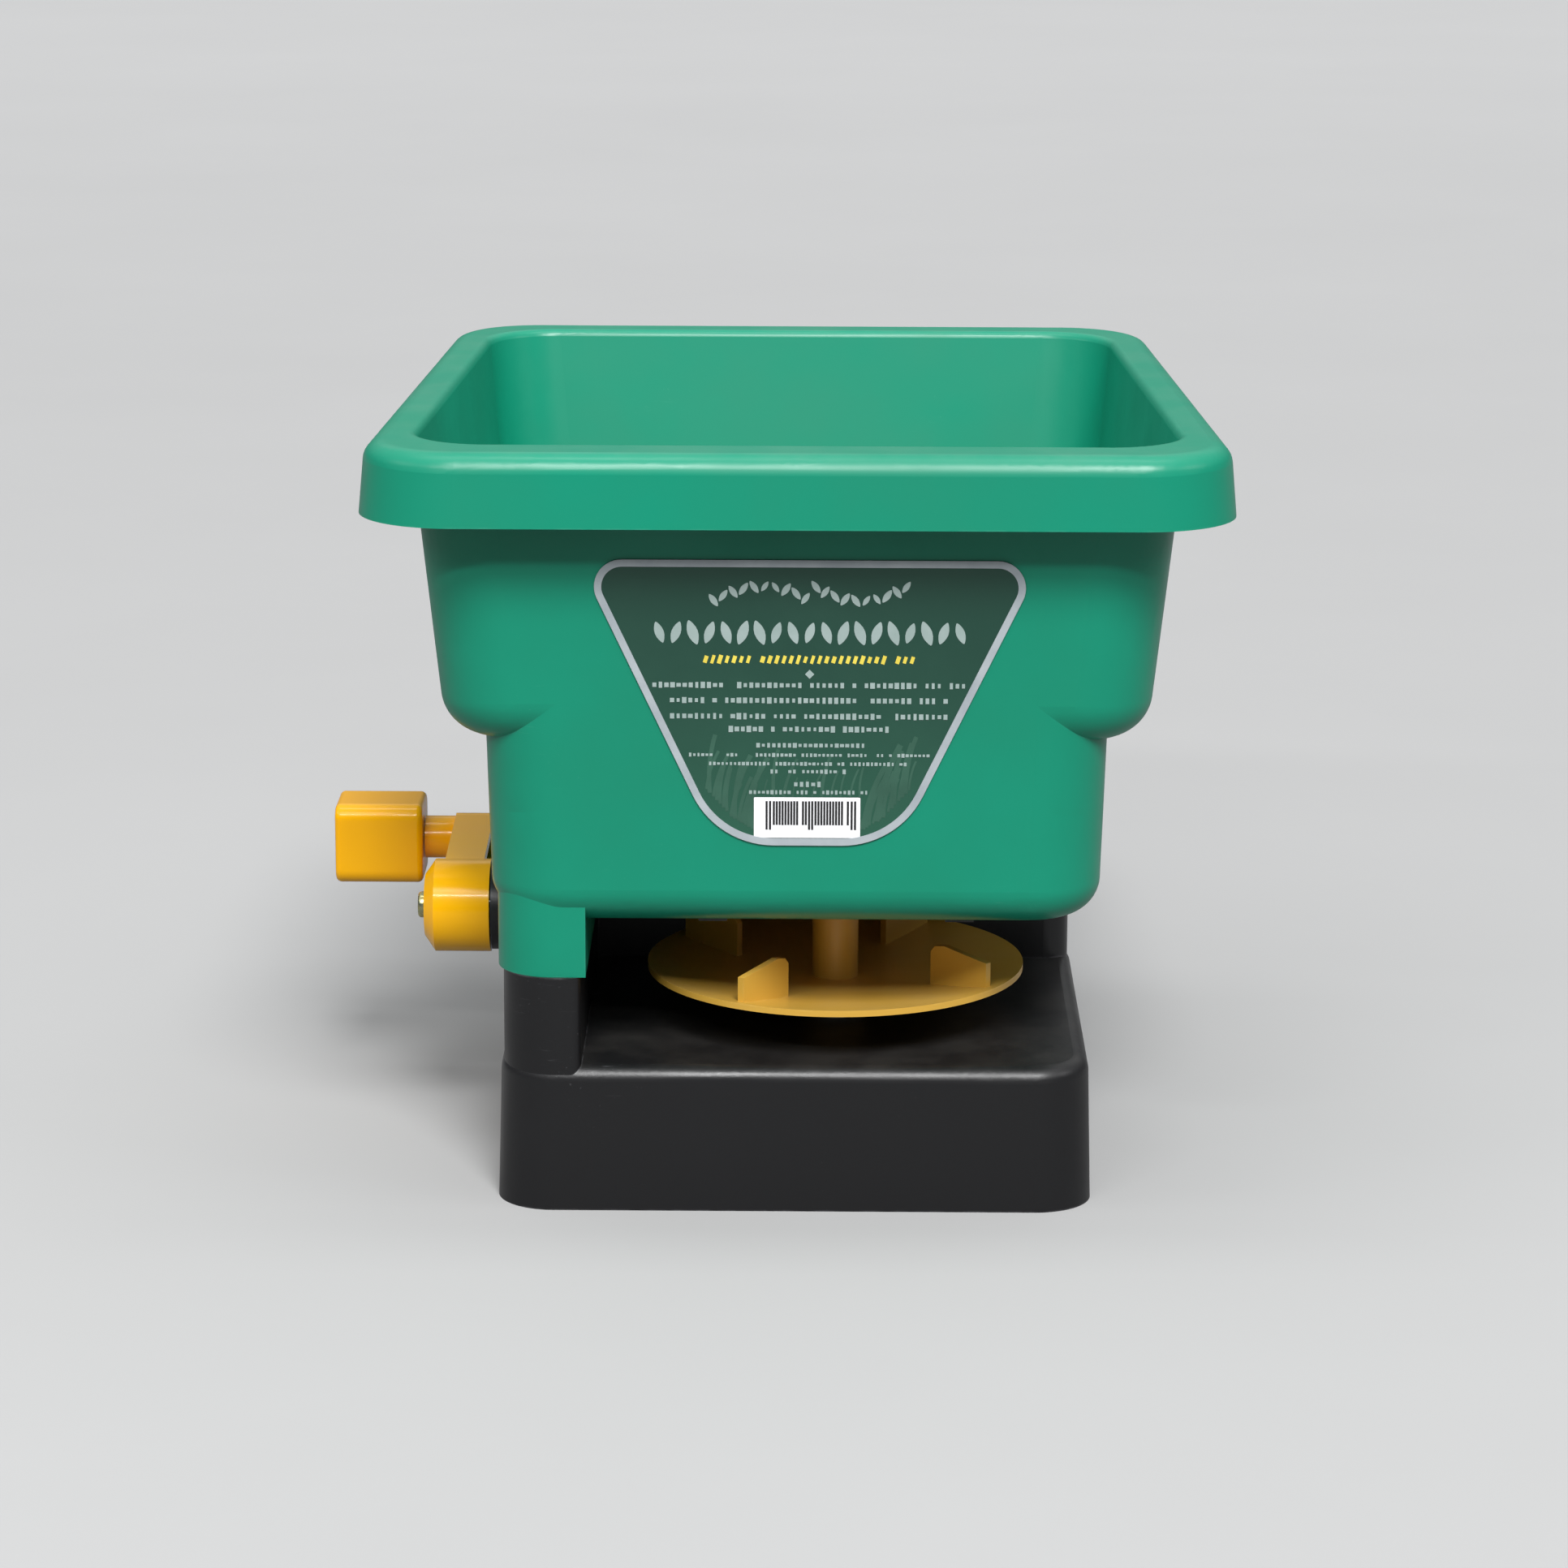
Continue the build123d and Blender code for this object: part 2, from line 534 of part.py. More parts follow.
def agitator():
    """Hub with two bent fingers stirring the hopper's floor."""
    hub = bar_z(7.5, 92.0, 103.0, 0, 0)
    arms = bar_x(2.6, -44, 44, 0, 97.5) + bar_z(2.6, 95.5, 112, 41.4, 0) + bar_z(2.6, 95.5, 106, -41.4, 0)
    body = hub + arms - bar_z(SPINDLE_R + 0.02, 80, 120, 0, 0)
    return Pos(SPINDLE_X, SPINDLE_Y, 0) * Rot(0, 0, 35) * body


# ---- Crank group ----
def crank_bush():
    """Black collar between the hopper's side and the crank's hub, holding the shaft."""
    bush = bar_x(13.6, -93.8, -88.0, CRANK_Y, CRANK_Z) + bar_x(7.0, -88.0, -84.0, CRANK_Y, CRANK_Z)
    return bush - bar_x(CRANK_SHAFT_R + RUNNING_GAP, -100, -80, CRANK_Y, CRANK_Z)


def crank_shaft():
    """Steel shaft from the crank's hub to the inner wall of the column."""
    return bar_x(CRANK_SHAFT_R, -110.0, -61.0, CRANK_Y, CRANK_Z) - bar_x(1.45, -111, -98, CRANK_Y, CRANK_Z)


def crank_arm():
    """Hub, hollow-backed arm and the neck that carries the knob."""
    hub = bar_x(CRANK_HUB_R, CRANK_OUTER_X, CRANK_INNER_X, 0, 0)
    outer_edge = hub.edges().filter_by(GeomType.CIRCLE).sort_by(Axis.X)[0]
    hub = chamfer(outer_edge, 3.2, 4.6)
    top_outer = CRANK_HUB_R
    arm_points = [(0, -top_outer), (CRANK_RADIUS, -7.6), (CRANK_RADIUS, 7.6), (0, top_outer)]
    arm = Plane.YZ * make_face(Polyline(*arm_points, close=True))
    arm = extrude(arm, 12)
    arm += Pos(6, CRANK_RADIUS, 0) * Rot(0, 90, 0) * Cylinder(7.6, 12)
    arm = Pos(-108.4, 0, 0) * arm
    hollow_points = [(14, -9.2), (CRANK_RADIUS - 2, -5.2), (CRANK_RADIUS - 2, 5.2), (14, 9.2)]
    hollow = Pos(-105.8, 0, 0) * extrude(Plane.YZ * make_face(Polyline(*hollow_points, close=True)), 12)
    neck = Pos(-113.2, CRANK_RADIUS, 0) * Rot(0, 90, 0) * Cylinder(6.7, 9.8)
    body = hub + (arm - hollow) + neck
    body -= bar_x(CRANK_SHAFT_R + 0.02, -110.0, -90, 0, 0) + bar_x(1.7, -120, -100, 0, 0)
    body -= bar_x(2.0, -120, -100, CRANK_RADIUS, 0)
    return Pos(0, CRANK_Y, CRANK_Z) * Rot(ARM_RISE_DEG, 0, 0) * body


def knob_centre():
    """Where the knob's axis crosses the crank's plane."""
    angle = math.radians(ARM_RISE_DEG)
    return CRANK_Y + CRANK_RADIUS * math.cos(angle), CRANK_Z + CRANK_RADIUS * math.sin(angle)


KNOB_Y, KNOB_Z = knob_centre()


def crank_knob():
    """Rounded block knob that spins on its pin."""
    knob = Pos(-132.2, 0, 0) * Box(27.6, 25.4, 25.4)
    knob = fillet(knob.edges().filter_by(Axis.X), 4.6)
    knob = fillet(knob.faces().sort_by(Axis.X)[0].edges() + knob.faces().sort_by(Axis.X)[-1].edges(), 1.8)
    knob -= bar_x(2.5 + RUNNING_GAP, -143, -110, 0, 0) + bar_x(4.3, -143.5, -141, 0, 0)
    return Pos(0, KNOB_Y, KNOB_Z) * knob


def knob_pin():
    """Shouldered steel pin carrying the knob, pressed into the crank's neck."""
    pin = bar_x(2.5, -142.6, -118.2, KNOB_Y, KNOB_Z) + bar_x(2.0, -118.2, -107.0, KNOB_Y, KNOB_Z)
    return pin + bar_x(4.1, -142.9, -141.4, KNOB_Y, KNOB_Z)


def crank_screw():
    """Domed screw holding the crank on its shaft."""
    screw = Rot(0, -90, 0) * pan_screw(4.0, 2.3, 1.4, 14)
    return Pos(CRANK_OUTER_X, CRANK_Y, CRANK_Z) * screw


# ---- Gate ----
def gate_plate():
    """Sliding plate under the hopper's floor with two windows and a rear tail."""
    plate = block(-24, 48, -50, 36.5, GATE_Z0, GATE_Z1) + block(-8, 8, 35, 66, GATE_Z0, GATE_Z1)
    for side in (-1, 1):
        x = SPINDLE_X + side * OUTLET_OFFSET
        window = extrude(SlotOverall(OUTLET_LENGTH, OUTLET_WIDTH), 20, both=True)
        plate -= Pos(x, SPINDLE_Y - GATE_TRAVEL, GATE_Z0) * window
    slot = SlotOverall(9 + GATE_TRAVEL + 2, 9.0, rotation=90)
    plate -= Pos(SPINDLE_X, SPINDLE_Y - GATE_TRAVEL / 2, GATE_Z0) * extrude(slot, 20, both=True)
    return plate - bar_z(1.55, 80, 90, 0, 60)


def gate_guides():
    """Two rails under the hopper's floor that carry the gate."""
    rails = []
    for x0, x1, lip in ((-29.0, -24.5, 4.0), (48.5, 53.0, -4.0)):
        wall = block(x0, x1, -46, 36, 81.0, FLOOR_Z)
        ledge = block(min(x0, x0 + lip), max(x1, x1 + lip), -46, 36, 81.0, GATE_Z0 - 0.3)
        rails.append(wall + ledge)
    return rails


def link_rod():
    """Strap from the gate's tail back to the trigger, with an upright slot at its end."""
    strap = block(-2.6, 2.6, 66, 116, 78.6, 83.0) + block(-6, 6, 52, 72, 80.6, 83.0)
    end = side_profile([(113, 76.5), (127, 76.5), (127, 93), (113, 93)], 2.6, 2.5)
    slot = side_profile([(117.65, 80.0), (122.35, 80.0), (122.35, 89.6), (117.65, 89.6)], 6, 2.2)
    return strap + end - slot - bar_z(1.55, 70, 90, 0, 60)


def link_rivet():
    """Rivet joining the link to the gate's tail."""
    return bar_z(1.5, 79.6, 86.2, 0, 60) + bar_z(3.0, 79.4, 80.6, 0, 60) + bar_z(3.0, GATE_Z1, 86.4, 0, 60)


# ---- Handle ----
HANDLE_SCREWS = ((86.0, 122.0), (152.0, 116.0), (163.0, 66.0), (158.5, 20.0))
HANDLE_OUTLINE = [
    (131.0, 79.2),
    (148.0, 8.0),
    (183.0, 8.0),
    (163.0, 131.0),
]
HANDLE_CAVITY = [
    (70.0, 70.0),
    (129.0, 70.0),
    (136.6, 71.2),
    (150.2, 10.8),
    (179.6, 10.8),
    (163.2, 111.0),
    (158.5, 119.5),
    (146.0, 128.2),
    (BASE_REAR + 4.0, 128.2),
    (BASE_REAR + 4.0, 100.0),
    (70.0, 98.0),
]


def handle_body():
    """Pistol grip and neck, hollow, before it is cut into halves."""
    outline = HANDLE_OUTLINE + [(60.0, 131.0), (60.0, 79.2)]
    solid = side_profile(outline, HANDLE_HALF_X, 3.0, (3,), 22.0)
    faces = [solid.faces().sort_by(Axis.X)[0], solid.faces().sort_by(Axis.X)[-1]]
    solid = fillet(faces[0].edges() + faces[1].edges(), 4.4)
    solid &= block(-20, 20, BASE_REAR + 2.4, 200, 0, 140)
    flange = block(-HANDLE_HALF_X, HANDLE_HALF_X, BASE_REAR + 2.4, BASE_REAR + 5.4, 99.5, 131)
    cavity = side_profile(HANDLE_CAVITY, HANDLE_HALF_X - HANDLE_WALL)
    body = solid - cavity + flange
    for y, z in HANDLE_SCREWS:
        body += bar_x(4.2, -HANDLE_HALF_X + 1, HANDLE_HALF_X - 1, y, z)
        body -= bar_x(1.6, -11, 30, y, z)
        body -= bar_x(3.4, 11.6, 30, y, z)
    body += bar_x(6.0, -HANDLE_HALF_X + 1, -7.6, TRIGGER_Y, TRIGGER_Z)
    body += bar_x(6.0, 7.6, HANDLE_HALF_X - 1, TRIGGER_Y, TRIGGER_Z)
    body -= bar_x(3.05, -12.6, 12.6, TRIGGER_Y, TRIGGER_Z)
    body -= bar_x(4.05, 0, 30, DIAL_Y, DIAL_Z)
    body -= block(-8.1, 8.1, 170, 190, 14.9, 30.1)
    body -= bar_x(2.05, -12.8, 12.8, 173.5, 22.5)
    for x in (-9, 9):
        body -= bar_y(1.4, BASE_REAR, BASE_REAR + 12, x, 114)
    return body


def handle_left():
    """Left half of the handle."""
    return handle_body() & block(-30, 0, 60, 220, 0, 140)


def handle_right():
    """Right half of the handle, with the dial's bore."""
    return handle_body() & block(0, 30, 60, 220, 0, 140)


def handle_screws():
    """Screws joining the handle's halves, driven from the right."""
    screw = Rot(0, 90, 0) * pan_screw(3.0, 1.9, 1.5, 20)
    return [Pos(11.6, y, z) * screw for y, z in HANDLE_SCREWS]


def neck_screws():
    """Screws from inside the hopper into the handle's flange."""
    screw = Rot(90, 0, 0) * pan_screw(3.2, 2.0, 1.3, 8)
    return [Pos(x, BASE_REAR - WALL + 0.4, 114) * screw for x in (-9, 9)]


def handle_foot():
    """Rubber pad under the grip that rests on the ground."""
    pad = side_profile([(148.4, 0), (182.0, 0), (182.6, 8.0), (148.0, 8.0)], 13.0, 1.6)
    return pad


def trigger():
    """Lever hanging in the finger gap, forked around the link's end."""
    points = [
        (113.0, 119.0),
        (127.0, 119.0),
        (128.0, 106.0),
        (125.6, 78.6),
        (117.0, 74.0),
        (112.5, 62.0),
        (113.5, 40.0),
        (103.5, 37.0),
        (101.0, 58.0),
        (104.5, 80.0),
        (110.5, 100.0),
    ]
    lever = side_profile(points, 6.6, 1.6)
    faces = [lever.faces().sort_by(Axis.X)[0], lever.faces().sort_by(Axis.X)[-1]]
    lever = fillet(faces[0].edges() + faces[1].edges(), 1.2)
    lever -= block(-3.1, 3.1, 95, 140, 73.2, 97)
    lever -= bar_x(3.0 + RUNNING_GAP, -20, 20, TRIGGER_Y, TRIGGER_Z)
    lever -= bar_x(2.02, -20, 20, TRIGGER_Y, LINK_PIN_Z)
    return lever


def trigger_pin():
    """Steel pin the trigger swings on."""
    return bar_x(3.0, -12.4, 12.4, TRIGGER_Y, TRIGGER_Z)


def link_pin():
    """Pin in the trigger that pulls the link."""
    return bar_x(2.0, -6.4, 6.4, TRIGGER_Y, LINK_PIN_Z)


def trigger_spring():
    """Compression spring between the trigger and the grip's inner wall."""
    path = Helix(2.4, 12.0, 3.6)
    wire = sweep(Plane(origin=path @ 0, z_dir=path % 0) * Circle(0.45), path=path, is_frenet=True)
    return Pos(0, 128.4, 104.5) * Rot(-90, 0, 0) * wire


# ---- Rate dial ----
def rate_dial():
    """Round dial with a grip edge on the handle's right side."""
    dial = bar_x(15.0, HANDLE_HALF_X + 0.4, HANDLE_HALF_X + 7.4, 0, 0)
    dial = chamfer(dial.edges().filter_by(GeomType.CIRCLE).sort_by(Axis.X)[-1], 1.0)
    for k in range(24):
        dial -= Rot(15 * k, 0, 0) * bar_x(0.9, HANDLE_HALF_X + 2, HANDLE_HALF_X + 9, 15.3, 0)
    dial += bar_x(4.0, 5.0, HANDLE_HALF_X + 1, 0, 0)
    return Pos(0, DIAL_Y, DIAL_Z) * (dial - bar_x(1.4, 0, 12, 0, 0))


def rate_cam():
    """Cam on the dial's shaft that sets how far the gate may open."""
    cam = bar_x(5.6, 1.5, 4.9, 0, 0) + bar_x(4.0, 1.5, 4.9, 3.4, 0)
    return Pos(0, DIAL_Y, DIAL_Z) * (cam - bar_x(1.5, -2, 6, 0, 0))


def cam_screw():
    """Screw holding the cam to the dial's shaft."""
    screw = Rot(0, -90, 0) * pan_screw(2.8, 1.6, 1.35, 9)
    return Pos(1.5, DIAL_Y, DIAL_Z) * screw


# ---- Arm support ----
def arm_support():
    """Strut from the grip's foot carrying a curved forearm trough."""
    strut = side_profile(
        [(182.85, 9), (212, 14), (296, 25), (296, 28), (214, 36), (178.9, 34)],
        10.0,
    )
    tongue = block(-8, 8, 170.5, 184, 15, 30)
    outer = bar_y(TROUGH_R + 3, TROUGH_FRONT, TROUGH_REAR, 0, TROUGH_Z)
    inner = bar_y(TROUGH_R, TROUGH_FRONT - 5, TROUGH_REAR + 5, 0, TROUGH_Z)
    middle_y = (TROUGH_FRONT + TROUGH_REAR) / 2
    window = Pos(0, middle_y, 0) * RectangleRounded(86, TROUGH_REAR - TROUGH_FRONT, 26)
    shell = (outer - inner) & extrude(window, 52)
    solid = strut - bar_y(TROUGH_R + 0.5, 150, 330, 0, TROUGH_Z) + shell + tongue
    return solid - bar_x(2.02, -20, 20, 173.5, 22.5)


def arm_pad():
    """Soft liner bonded inside the trough."""
    outer = bar_y(TROUGH_R - 0.02, TROUGH_FRONT, TROUGH_REAR, 0, TROUGH_Z)
    inner = bar_y(TROUGH_R - 2.2, TROUGH_FRONT - 5, TROUGH_REAR + 5, 0, TROUGH_Z)
    middle_y = (TROUGH_FRONT + TROUGH_REAR) / 2
    window = Pos(0, middle_y, 0) * RectangleRounded(66, TROUGH_REAR - TROUGH_FRONT - 12, 20)
    return (outer - inner) & extrude(window, 50)


def arm_pin():
    """Cross pin locking the arm support's tongue in the grip."""
    return bar_x(2.0, -12.6, 12.6, 173.5, 22.5)


# ---- Label ----
def label():
    """Printed label on the hopper's front wall, wide above and round below."""
    points = [(-63.0, 196.4), (70.6, 196.4), (29.6, 111.9), (-22.9, 111.9)]
    outline = make_face(Polyline(*points, close=True))
    outline = fillet(outline.vertices().group_by(Axis.Y)[-1], 8.0)
    outline = fillet(outline.vertices().group_by(Axis.Y)[0], 26.0)
    front = Plane(origin=(0, BASE_FRONT, 0), x_dir=(1, 0, 0), z_dir=(0, -1, 0))
    return extrude(front * outline, 0.35)


PARTS = {
    "hopper": hopper,
    "base_shell": base_shell,
    "bottom_cover": bottom_cover,
    "hopper_screws": hopper_screws,
    "cover_screws": cover_screws,
    "drive_gear": drive_gear,
    "idler_gear": idler_gear,
    "idler_pin": idler_pin,
    "cross_gear": cross_gear,
    "cross_shaft": cross_shaft,
    "crown_gear": crown_gear,
    "spindle_pinion": spindle_pinion,
    "spindle": spindle,
    "deck_bush": deck_bush,
    "floor_bush": floor_bush,
    "impeller": impeller,
    "agitator": agitator,
    "crank_bush": crank_bush,
    "crank_shaft": crank_shaft,
    "crank_arm": crank_arm,
    "crank_knob": crank_knob,
    "knob_pin": knob_pin,
    "crank_screw": crank_screw,
    "gate_plate": gate_plate,
    "gate_guides": gate_guides,
    "link_rod": link_rod,
    "link_rivet": link_rivet,
    "handle_left": handle_left,
    "handle_right": handle_right,
    "handle_screws": handle_screws,
    "neck_screws": neck_screws,
    "handle_foot": handle_foot,
    "trigger": trigger,
    "trigger_pin": trigger_pin,
    "link_pin": link_pin,
    "trigger_spring": trigger_spring,
    "rate_dial": rate_dial,
    "rate_cam": rate_cam,
    "cam_screw": cam_screw,
    "arm_support": arm_support,
    "arm_pad": arm_pad,
    "arm_pin": arm_pin,
    "label": label,
}


def write_parts():
    """Export every piece as its own STEP file."""
    os.makedirs("parts", exist_ok=True)
    for name, make in PARTS.items():
        made = make()
        pieces = made if isinstance(made, list) else [made]
        solids = [solid for piece in pieces for solid in piece.solids()]
        shape = solids[0] if len(solids) == 1 else Compound(children=solids)
        export_step(shape, f"parts/{name}.step")
        print(name, len(solids))


write_parts()
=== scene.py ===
"""Hand-held garden spreader: finishes, printed label, small fittings, studio and camera."""

import json
import logging
import math
from dataclasses import dataclass, field
from enum import Enum
from typing import Callable, Iterable, Sequence

import bmesh
import bpy
from mathutils import Matrix, Vector


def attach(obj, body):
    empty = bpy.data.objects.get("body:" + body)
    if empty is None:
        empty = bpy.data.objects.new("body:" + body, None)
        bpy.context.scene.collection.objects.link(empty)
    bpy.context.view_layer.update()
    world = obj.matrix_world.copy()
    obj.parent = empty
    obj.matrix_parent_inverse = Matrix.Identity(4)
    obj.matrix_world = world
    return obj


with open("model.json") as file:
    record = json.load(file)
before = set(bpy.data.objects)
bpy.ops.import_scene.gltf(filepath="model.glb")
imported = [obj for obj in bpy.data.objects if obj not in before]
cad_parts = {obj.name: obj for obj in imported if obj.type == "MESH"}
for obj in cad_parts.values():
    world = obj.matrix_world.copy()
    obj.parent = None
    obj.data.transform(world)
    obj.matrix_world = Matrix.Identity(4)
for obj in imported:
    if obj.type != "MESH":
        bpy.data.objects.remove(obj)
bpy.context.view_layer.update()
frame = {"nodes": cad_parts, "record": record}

LOG = logging.getLogger("spreader")
MM = 0.001

Colour = tuple[float, float, float]
Point = tuple[float, float]
Spot = tuple[float, float, float]
Node, Socket, Tree = bpy.types.Node, bpy.types.NodeSocket, bpy.types.NodeTree
Material, Mesh, Thing = bpy.types.Material, bpy.types.Mesh, bpy.types.Object
BMesh = bmesh.types.BMesh
ACROSS, ALONG = (0.0, math.pi / 2, 0.0), (math.pi / 2, 0.0, 0.0)


def srgb(*channels: int) -> Colour:
    """Turns an everyday 0-255 colour into the linear one that shaders take."""
    shares = [value / 255 for value in channels]
    return tuple(s / 12.92 if s <= 0.04045 else ((s + 0.055) / 1.055) ** 2.4 for s in shares)


def metres(*sizes: float) -> tuple[float, ...]:
    """Turns millimetres into metres."""
    return tuple(size * MM for size in sizes)


class Coat(Enum):
    """How much clear gloss lies over a plastic."""

    NONE = 0.0
    SATIN = 0.12
    GLOSS = 0.3


# ---- node helpers


class NodeDesk:
    """Lays out and wires the nodes of one tree."""

    def __init__(self, tree: Tree) -> None:
        """Starts on an emptied tree."""
        self.tree, self.column = tree, 0
        tree.nodes.clear()

    def add(self, kind: str, inputs: dict[str | int, object] | None = None, **settings: object) -> Node:
        """Adds a node, sets its properties and feeds its inputs.

        Args:
            kind: Blender's type name of the node.
            inputs: What to feed each input, by its name or number.
            **settings: Properties to set on the node.

        Returns:
            The new node.
        """
        node = self.tree.nodes.new(kind)
        node.location = (self.column * 190, -40 * (self.column % 5))
        self.column += 1
        for key, value in settings.items():
            setattr(node, key, value)
        for key, value in (inputs or {}).items():
            self.feed(node.inputs[key], value)
        return node

    def feed(self, target: Socket, value: object) -> None:
        """Links a socket, or sets its value when given a plain number or colour.

        Args:
            target: The input socket.
            value: An output socket, or the value to hold.
        """
        if isinstance(value, Socket):
            self.tree.links.new(value, target)
        else:
            target.default_value = value

    def maths(self, operation: str, first: object, second: object = 0.0, clamp: bool = False) -> Socket:
        """Adds a Math node and gives its result."""
        return self.add("ShaderNodeMath", {0: first, 1: second}, operation=operation, use_clamp=clamp).outputs[0]

    def times(self, first: object, second: object) -> Socket:
        """Multiplies two numbers."""
        return self.maths("MULTIPLY", first, second)

    def spread(self, value: object, low: float, high: float, to_low: float = 0.0, to_high: float = 1.0) -> Socket:
        """Maps a value from one range to another, clamped."""
        inputs = {"Value": value, "From Min": low, "From Max": high, "To Min": to_low, "To Max": to_high}
        return self.add("ShaderNodeMapRange", inputs).outputs["Result"]

    def mix(self, share: object, first: object, second: object) -> Socket:
        """Mixes two colours, where the share is how much of the second."""
        pair = [value if isinstance(value, Socket) else (*value, 1.0) for value in (first, second)]
        return self.add("ShaderNodeMix", {0: share, 6: pair[0], 7: pair[1]}, data_type="RGBA").outputs[2]

    def noise(self, vector: object, scale: object, detail: float = 3.0, rough: float = 0.5) -> Socket:
        """Adds a noise texture and gives its value."""
        inputs = {"Vector": vector, "Scale": scale, "Detail": detail, "Roughness": rough}
        return self.add("ShaderNodeTexNoise", inputs).outputs["Fac"]

    def split(self, vector: Socket) -> object:
        """Splits a vector into its X, Y and Z sockets."""
        return self.add("ShaderNodeSeparateXYZ", {0: vector}).outputs

    def combine(self, x: object = 0.0, y: object = 0.0, z: object = 0.0) -> Socket:
        """Makes a vector of three numbers."""
        return self.add("ShaderNodeCombineXYZ", {0: x, 1: y, 2: z}).outputs[0]


class Effects:
    """Shader groups that several finishes share."""

    def __init__(self) -> None:
        """Builds every group once."""
        self.grain, self.scuffs = self._grain(), self._scuffs()
        self.dust, self.edges = self._dust(), self._edges()

    @staticmethod
    def _group(name: str, outputs: Sequence[str], **sizes: float) -> tuple[NodeDesk, object, Node]:
        """Makes a group with a Vector input, number inputs and number outputs.

        Args:
            name: The group's name.
            outputs: The outputs' names.
            **sizes: The number inputs' defaults, with underscores for blanks.

        Returns:
            The group's desk, its given sockets and its output node.
        """
        tree = bpy.data.node_groups.new(name, "ShaderNodeTree")
        tree.interface.new_socket("Vector", in_out="INPUT", socket_type="NodeSocketVector")
        for label, value in sizes.items():
            socket = tree.interface.new_socket(label.replace("_", " "), in_out="INPUT", socket_type="NodeSocketFloat")
            socket.default_value = value
        for label in outputs:
            tree.interface.new_socket(label, in_out="OUTPUT", socket_type="NodeSocketFloat")
        desk = NodeDesk(tree)
        return desk, desk.add("NodeGroupInput").outputs, desk.add("NodeGroupOutput")

    def _grain(self) -> Tree:
        """Makes fine spark-eroded mould grain with slow flow marks in the colour.

        Returns:
            The group's tree.
        """
        desk, given, result = self._group("moulded_grain", ("Height", "Mottle"), Grain_Size=2500.0, Flow_Size=14.0)
        fine = desk.noise(given["Vector"], given["Grain Size"], 2.0, 0.6)
        coarse = desk.noise(given["Vector"], desk.times(given["Grain Size"], 0.31), 2.0)
        flow = desk.noise(given["Vector"], given["Flow Size"], 4.0, 0.55)
        desk.feed(result.inputs["Height"], desk.maths("ADD", desk.times(fine, 0.65), desk.times(coarse, 0.35)))
        desk.feed(result.inputs["Mottle"], desk.spread(flow, 0.32, 0.68))
        return desk.tree

    def _scuffs(self) -> Tree:
        """Makes thin stray scratches and rubbed spots.

        Returns:
            The group's tree.
        """
        desk, given, result = self._group("handling_scuffs", ("Mask",), Scale=60.0, Amount=0.3)
        warp = desk.add("ShaderNodeVectorMath", {0: given["Vector"], 1: (1.0, 1.6, 22.0)}, operation="MULTIPLY")
        thin = desk.spread(desk.noise(warp.outputs[0], given["Scale"], 3.0, 0.7), 0.66, 0.74)
        patch = desk.spread(desk.noise(given["Vector"], desk.times(given["Scale"], 0.4)), 0.58, 0.7)
        spots = desk.spread(desk.noise(given["Vector"], 900.0, 1.0), 0.72, 0.8, 0.0, 0.6)
        mask = desk.times(desk.maths("MAXIMUM", thin, spots), patch)
        desk.feed(result.inputs["Mask"], desk.maths("MULTIPLY", mask, given["Amount"], True))
        return desk.tree

    def _dust(self) -> Tree:
        """Makes pale dust that settles on faces looking up.

        Returns:
            The group's tree.
        """
        desk, given, result = self._group("settled_dust", ("Mask",), Amount=0.2)
        normal = desk.add("ShaderNodeNewGeometry").outputs["Normal"]
        up = desk.spread(desk.split(normal)["Z"], 0.55, 1.0)
        cloud = desk.spread(desk.noise(given["Vector"], 38.0, 6.0, 0.65), 0.4, 0.72, 0.15)
        desk.feed(result.inputs["Mask"], desk.maths("MULTIPLY", desk.times(up, cloud), given["Amount"], True))
        return desk.tree

    def _edges(self) -> Tree:
        """Makes lighter edges, broken up by noise: partly rubbing wear, partly a painted highlight.

        Returns:
            The group's tree.
        """
        desk, given, result = self._group("rubbed_and_highlit_edges", ("Mask",), Amount=0.3)
        bevel = desk.add("ShaderNodeBevel", {"Radius": 0.9 * MM}, samples=4)
        normal = desk.add("ShaderNodeNewGeometry").outputs["Normal"]
        turn = desk.add("ShaderNodeVectorMath", {0: bevel.outputs[0], 1: normal}, operation="DOT_PRODUCT")
        corner = desk.spread(turn.outputs["Value"], 0.99, 0.86)
        broken = desk.spread(desk.noise(given["Vector"], 160.0, 4.0), 0.4, 0.62)
        desk.feed(result.inputs["Mask"], desk.maths("MULTIPLY", desk.times(corner, broken), given["Amount"], True))
        return desk.tree


@dataclass(frozen=True)
class Bench:
    """What a finish is wired with."""

    desk: NodeDesk
    shader: Node
    place: Socket
    effects: Effects

    def use(self, group: Tree, **values: float) -> object:
        """Places a shared effect with its own values.

        Args:
            group: The effect's group.
            **values: Values for its named inputs, with underscores for blanks.

        Returns:
            The group's output sockets.
        """
        inputs = {key.replace("_", " "): value for key, value in values.items()}
        return self.desk.add("ShaderNodeGroup", {"Vector": self.place, **inputs}, node_tree=group).outputs

    def set(self, **inputs: object) -> None:
        """Sets or links the shader's named inputs, with underscores for blanks."""
        for key, value in inputs.items():
            self.desk.feed(self.shader.inputs[key.replace("_", " ")], value)

    def bump(self, height: Socket, strength: float, depth: float) -> None:
        """Raises the surface by a height, with the depth in mm."""
        bump = self.desk.add("ShaderNodeBump", {"Strength": strength, "Distance": depth * MM, "Height": height})
        self.set(Normal=bump.outputs[0])


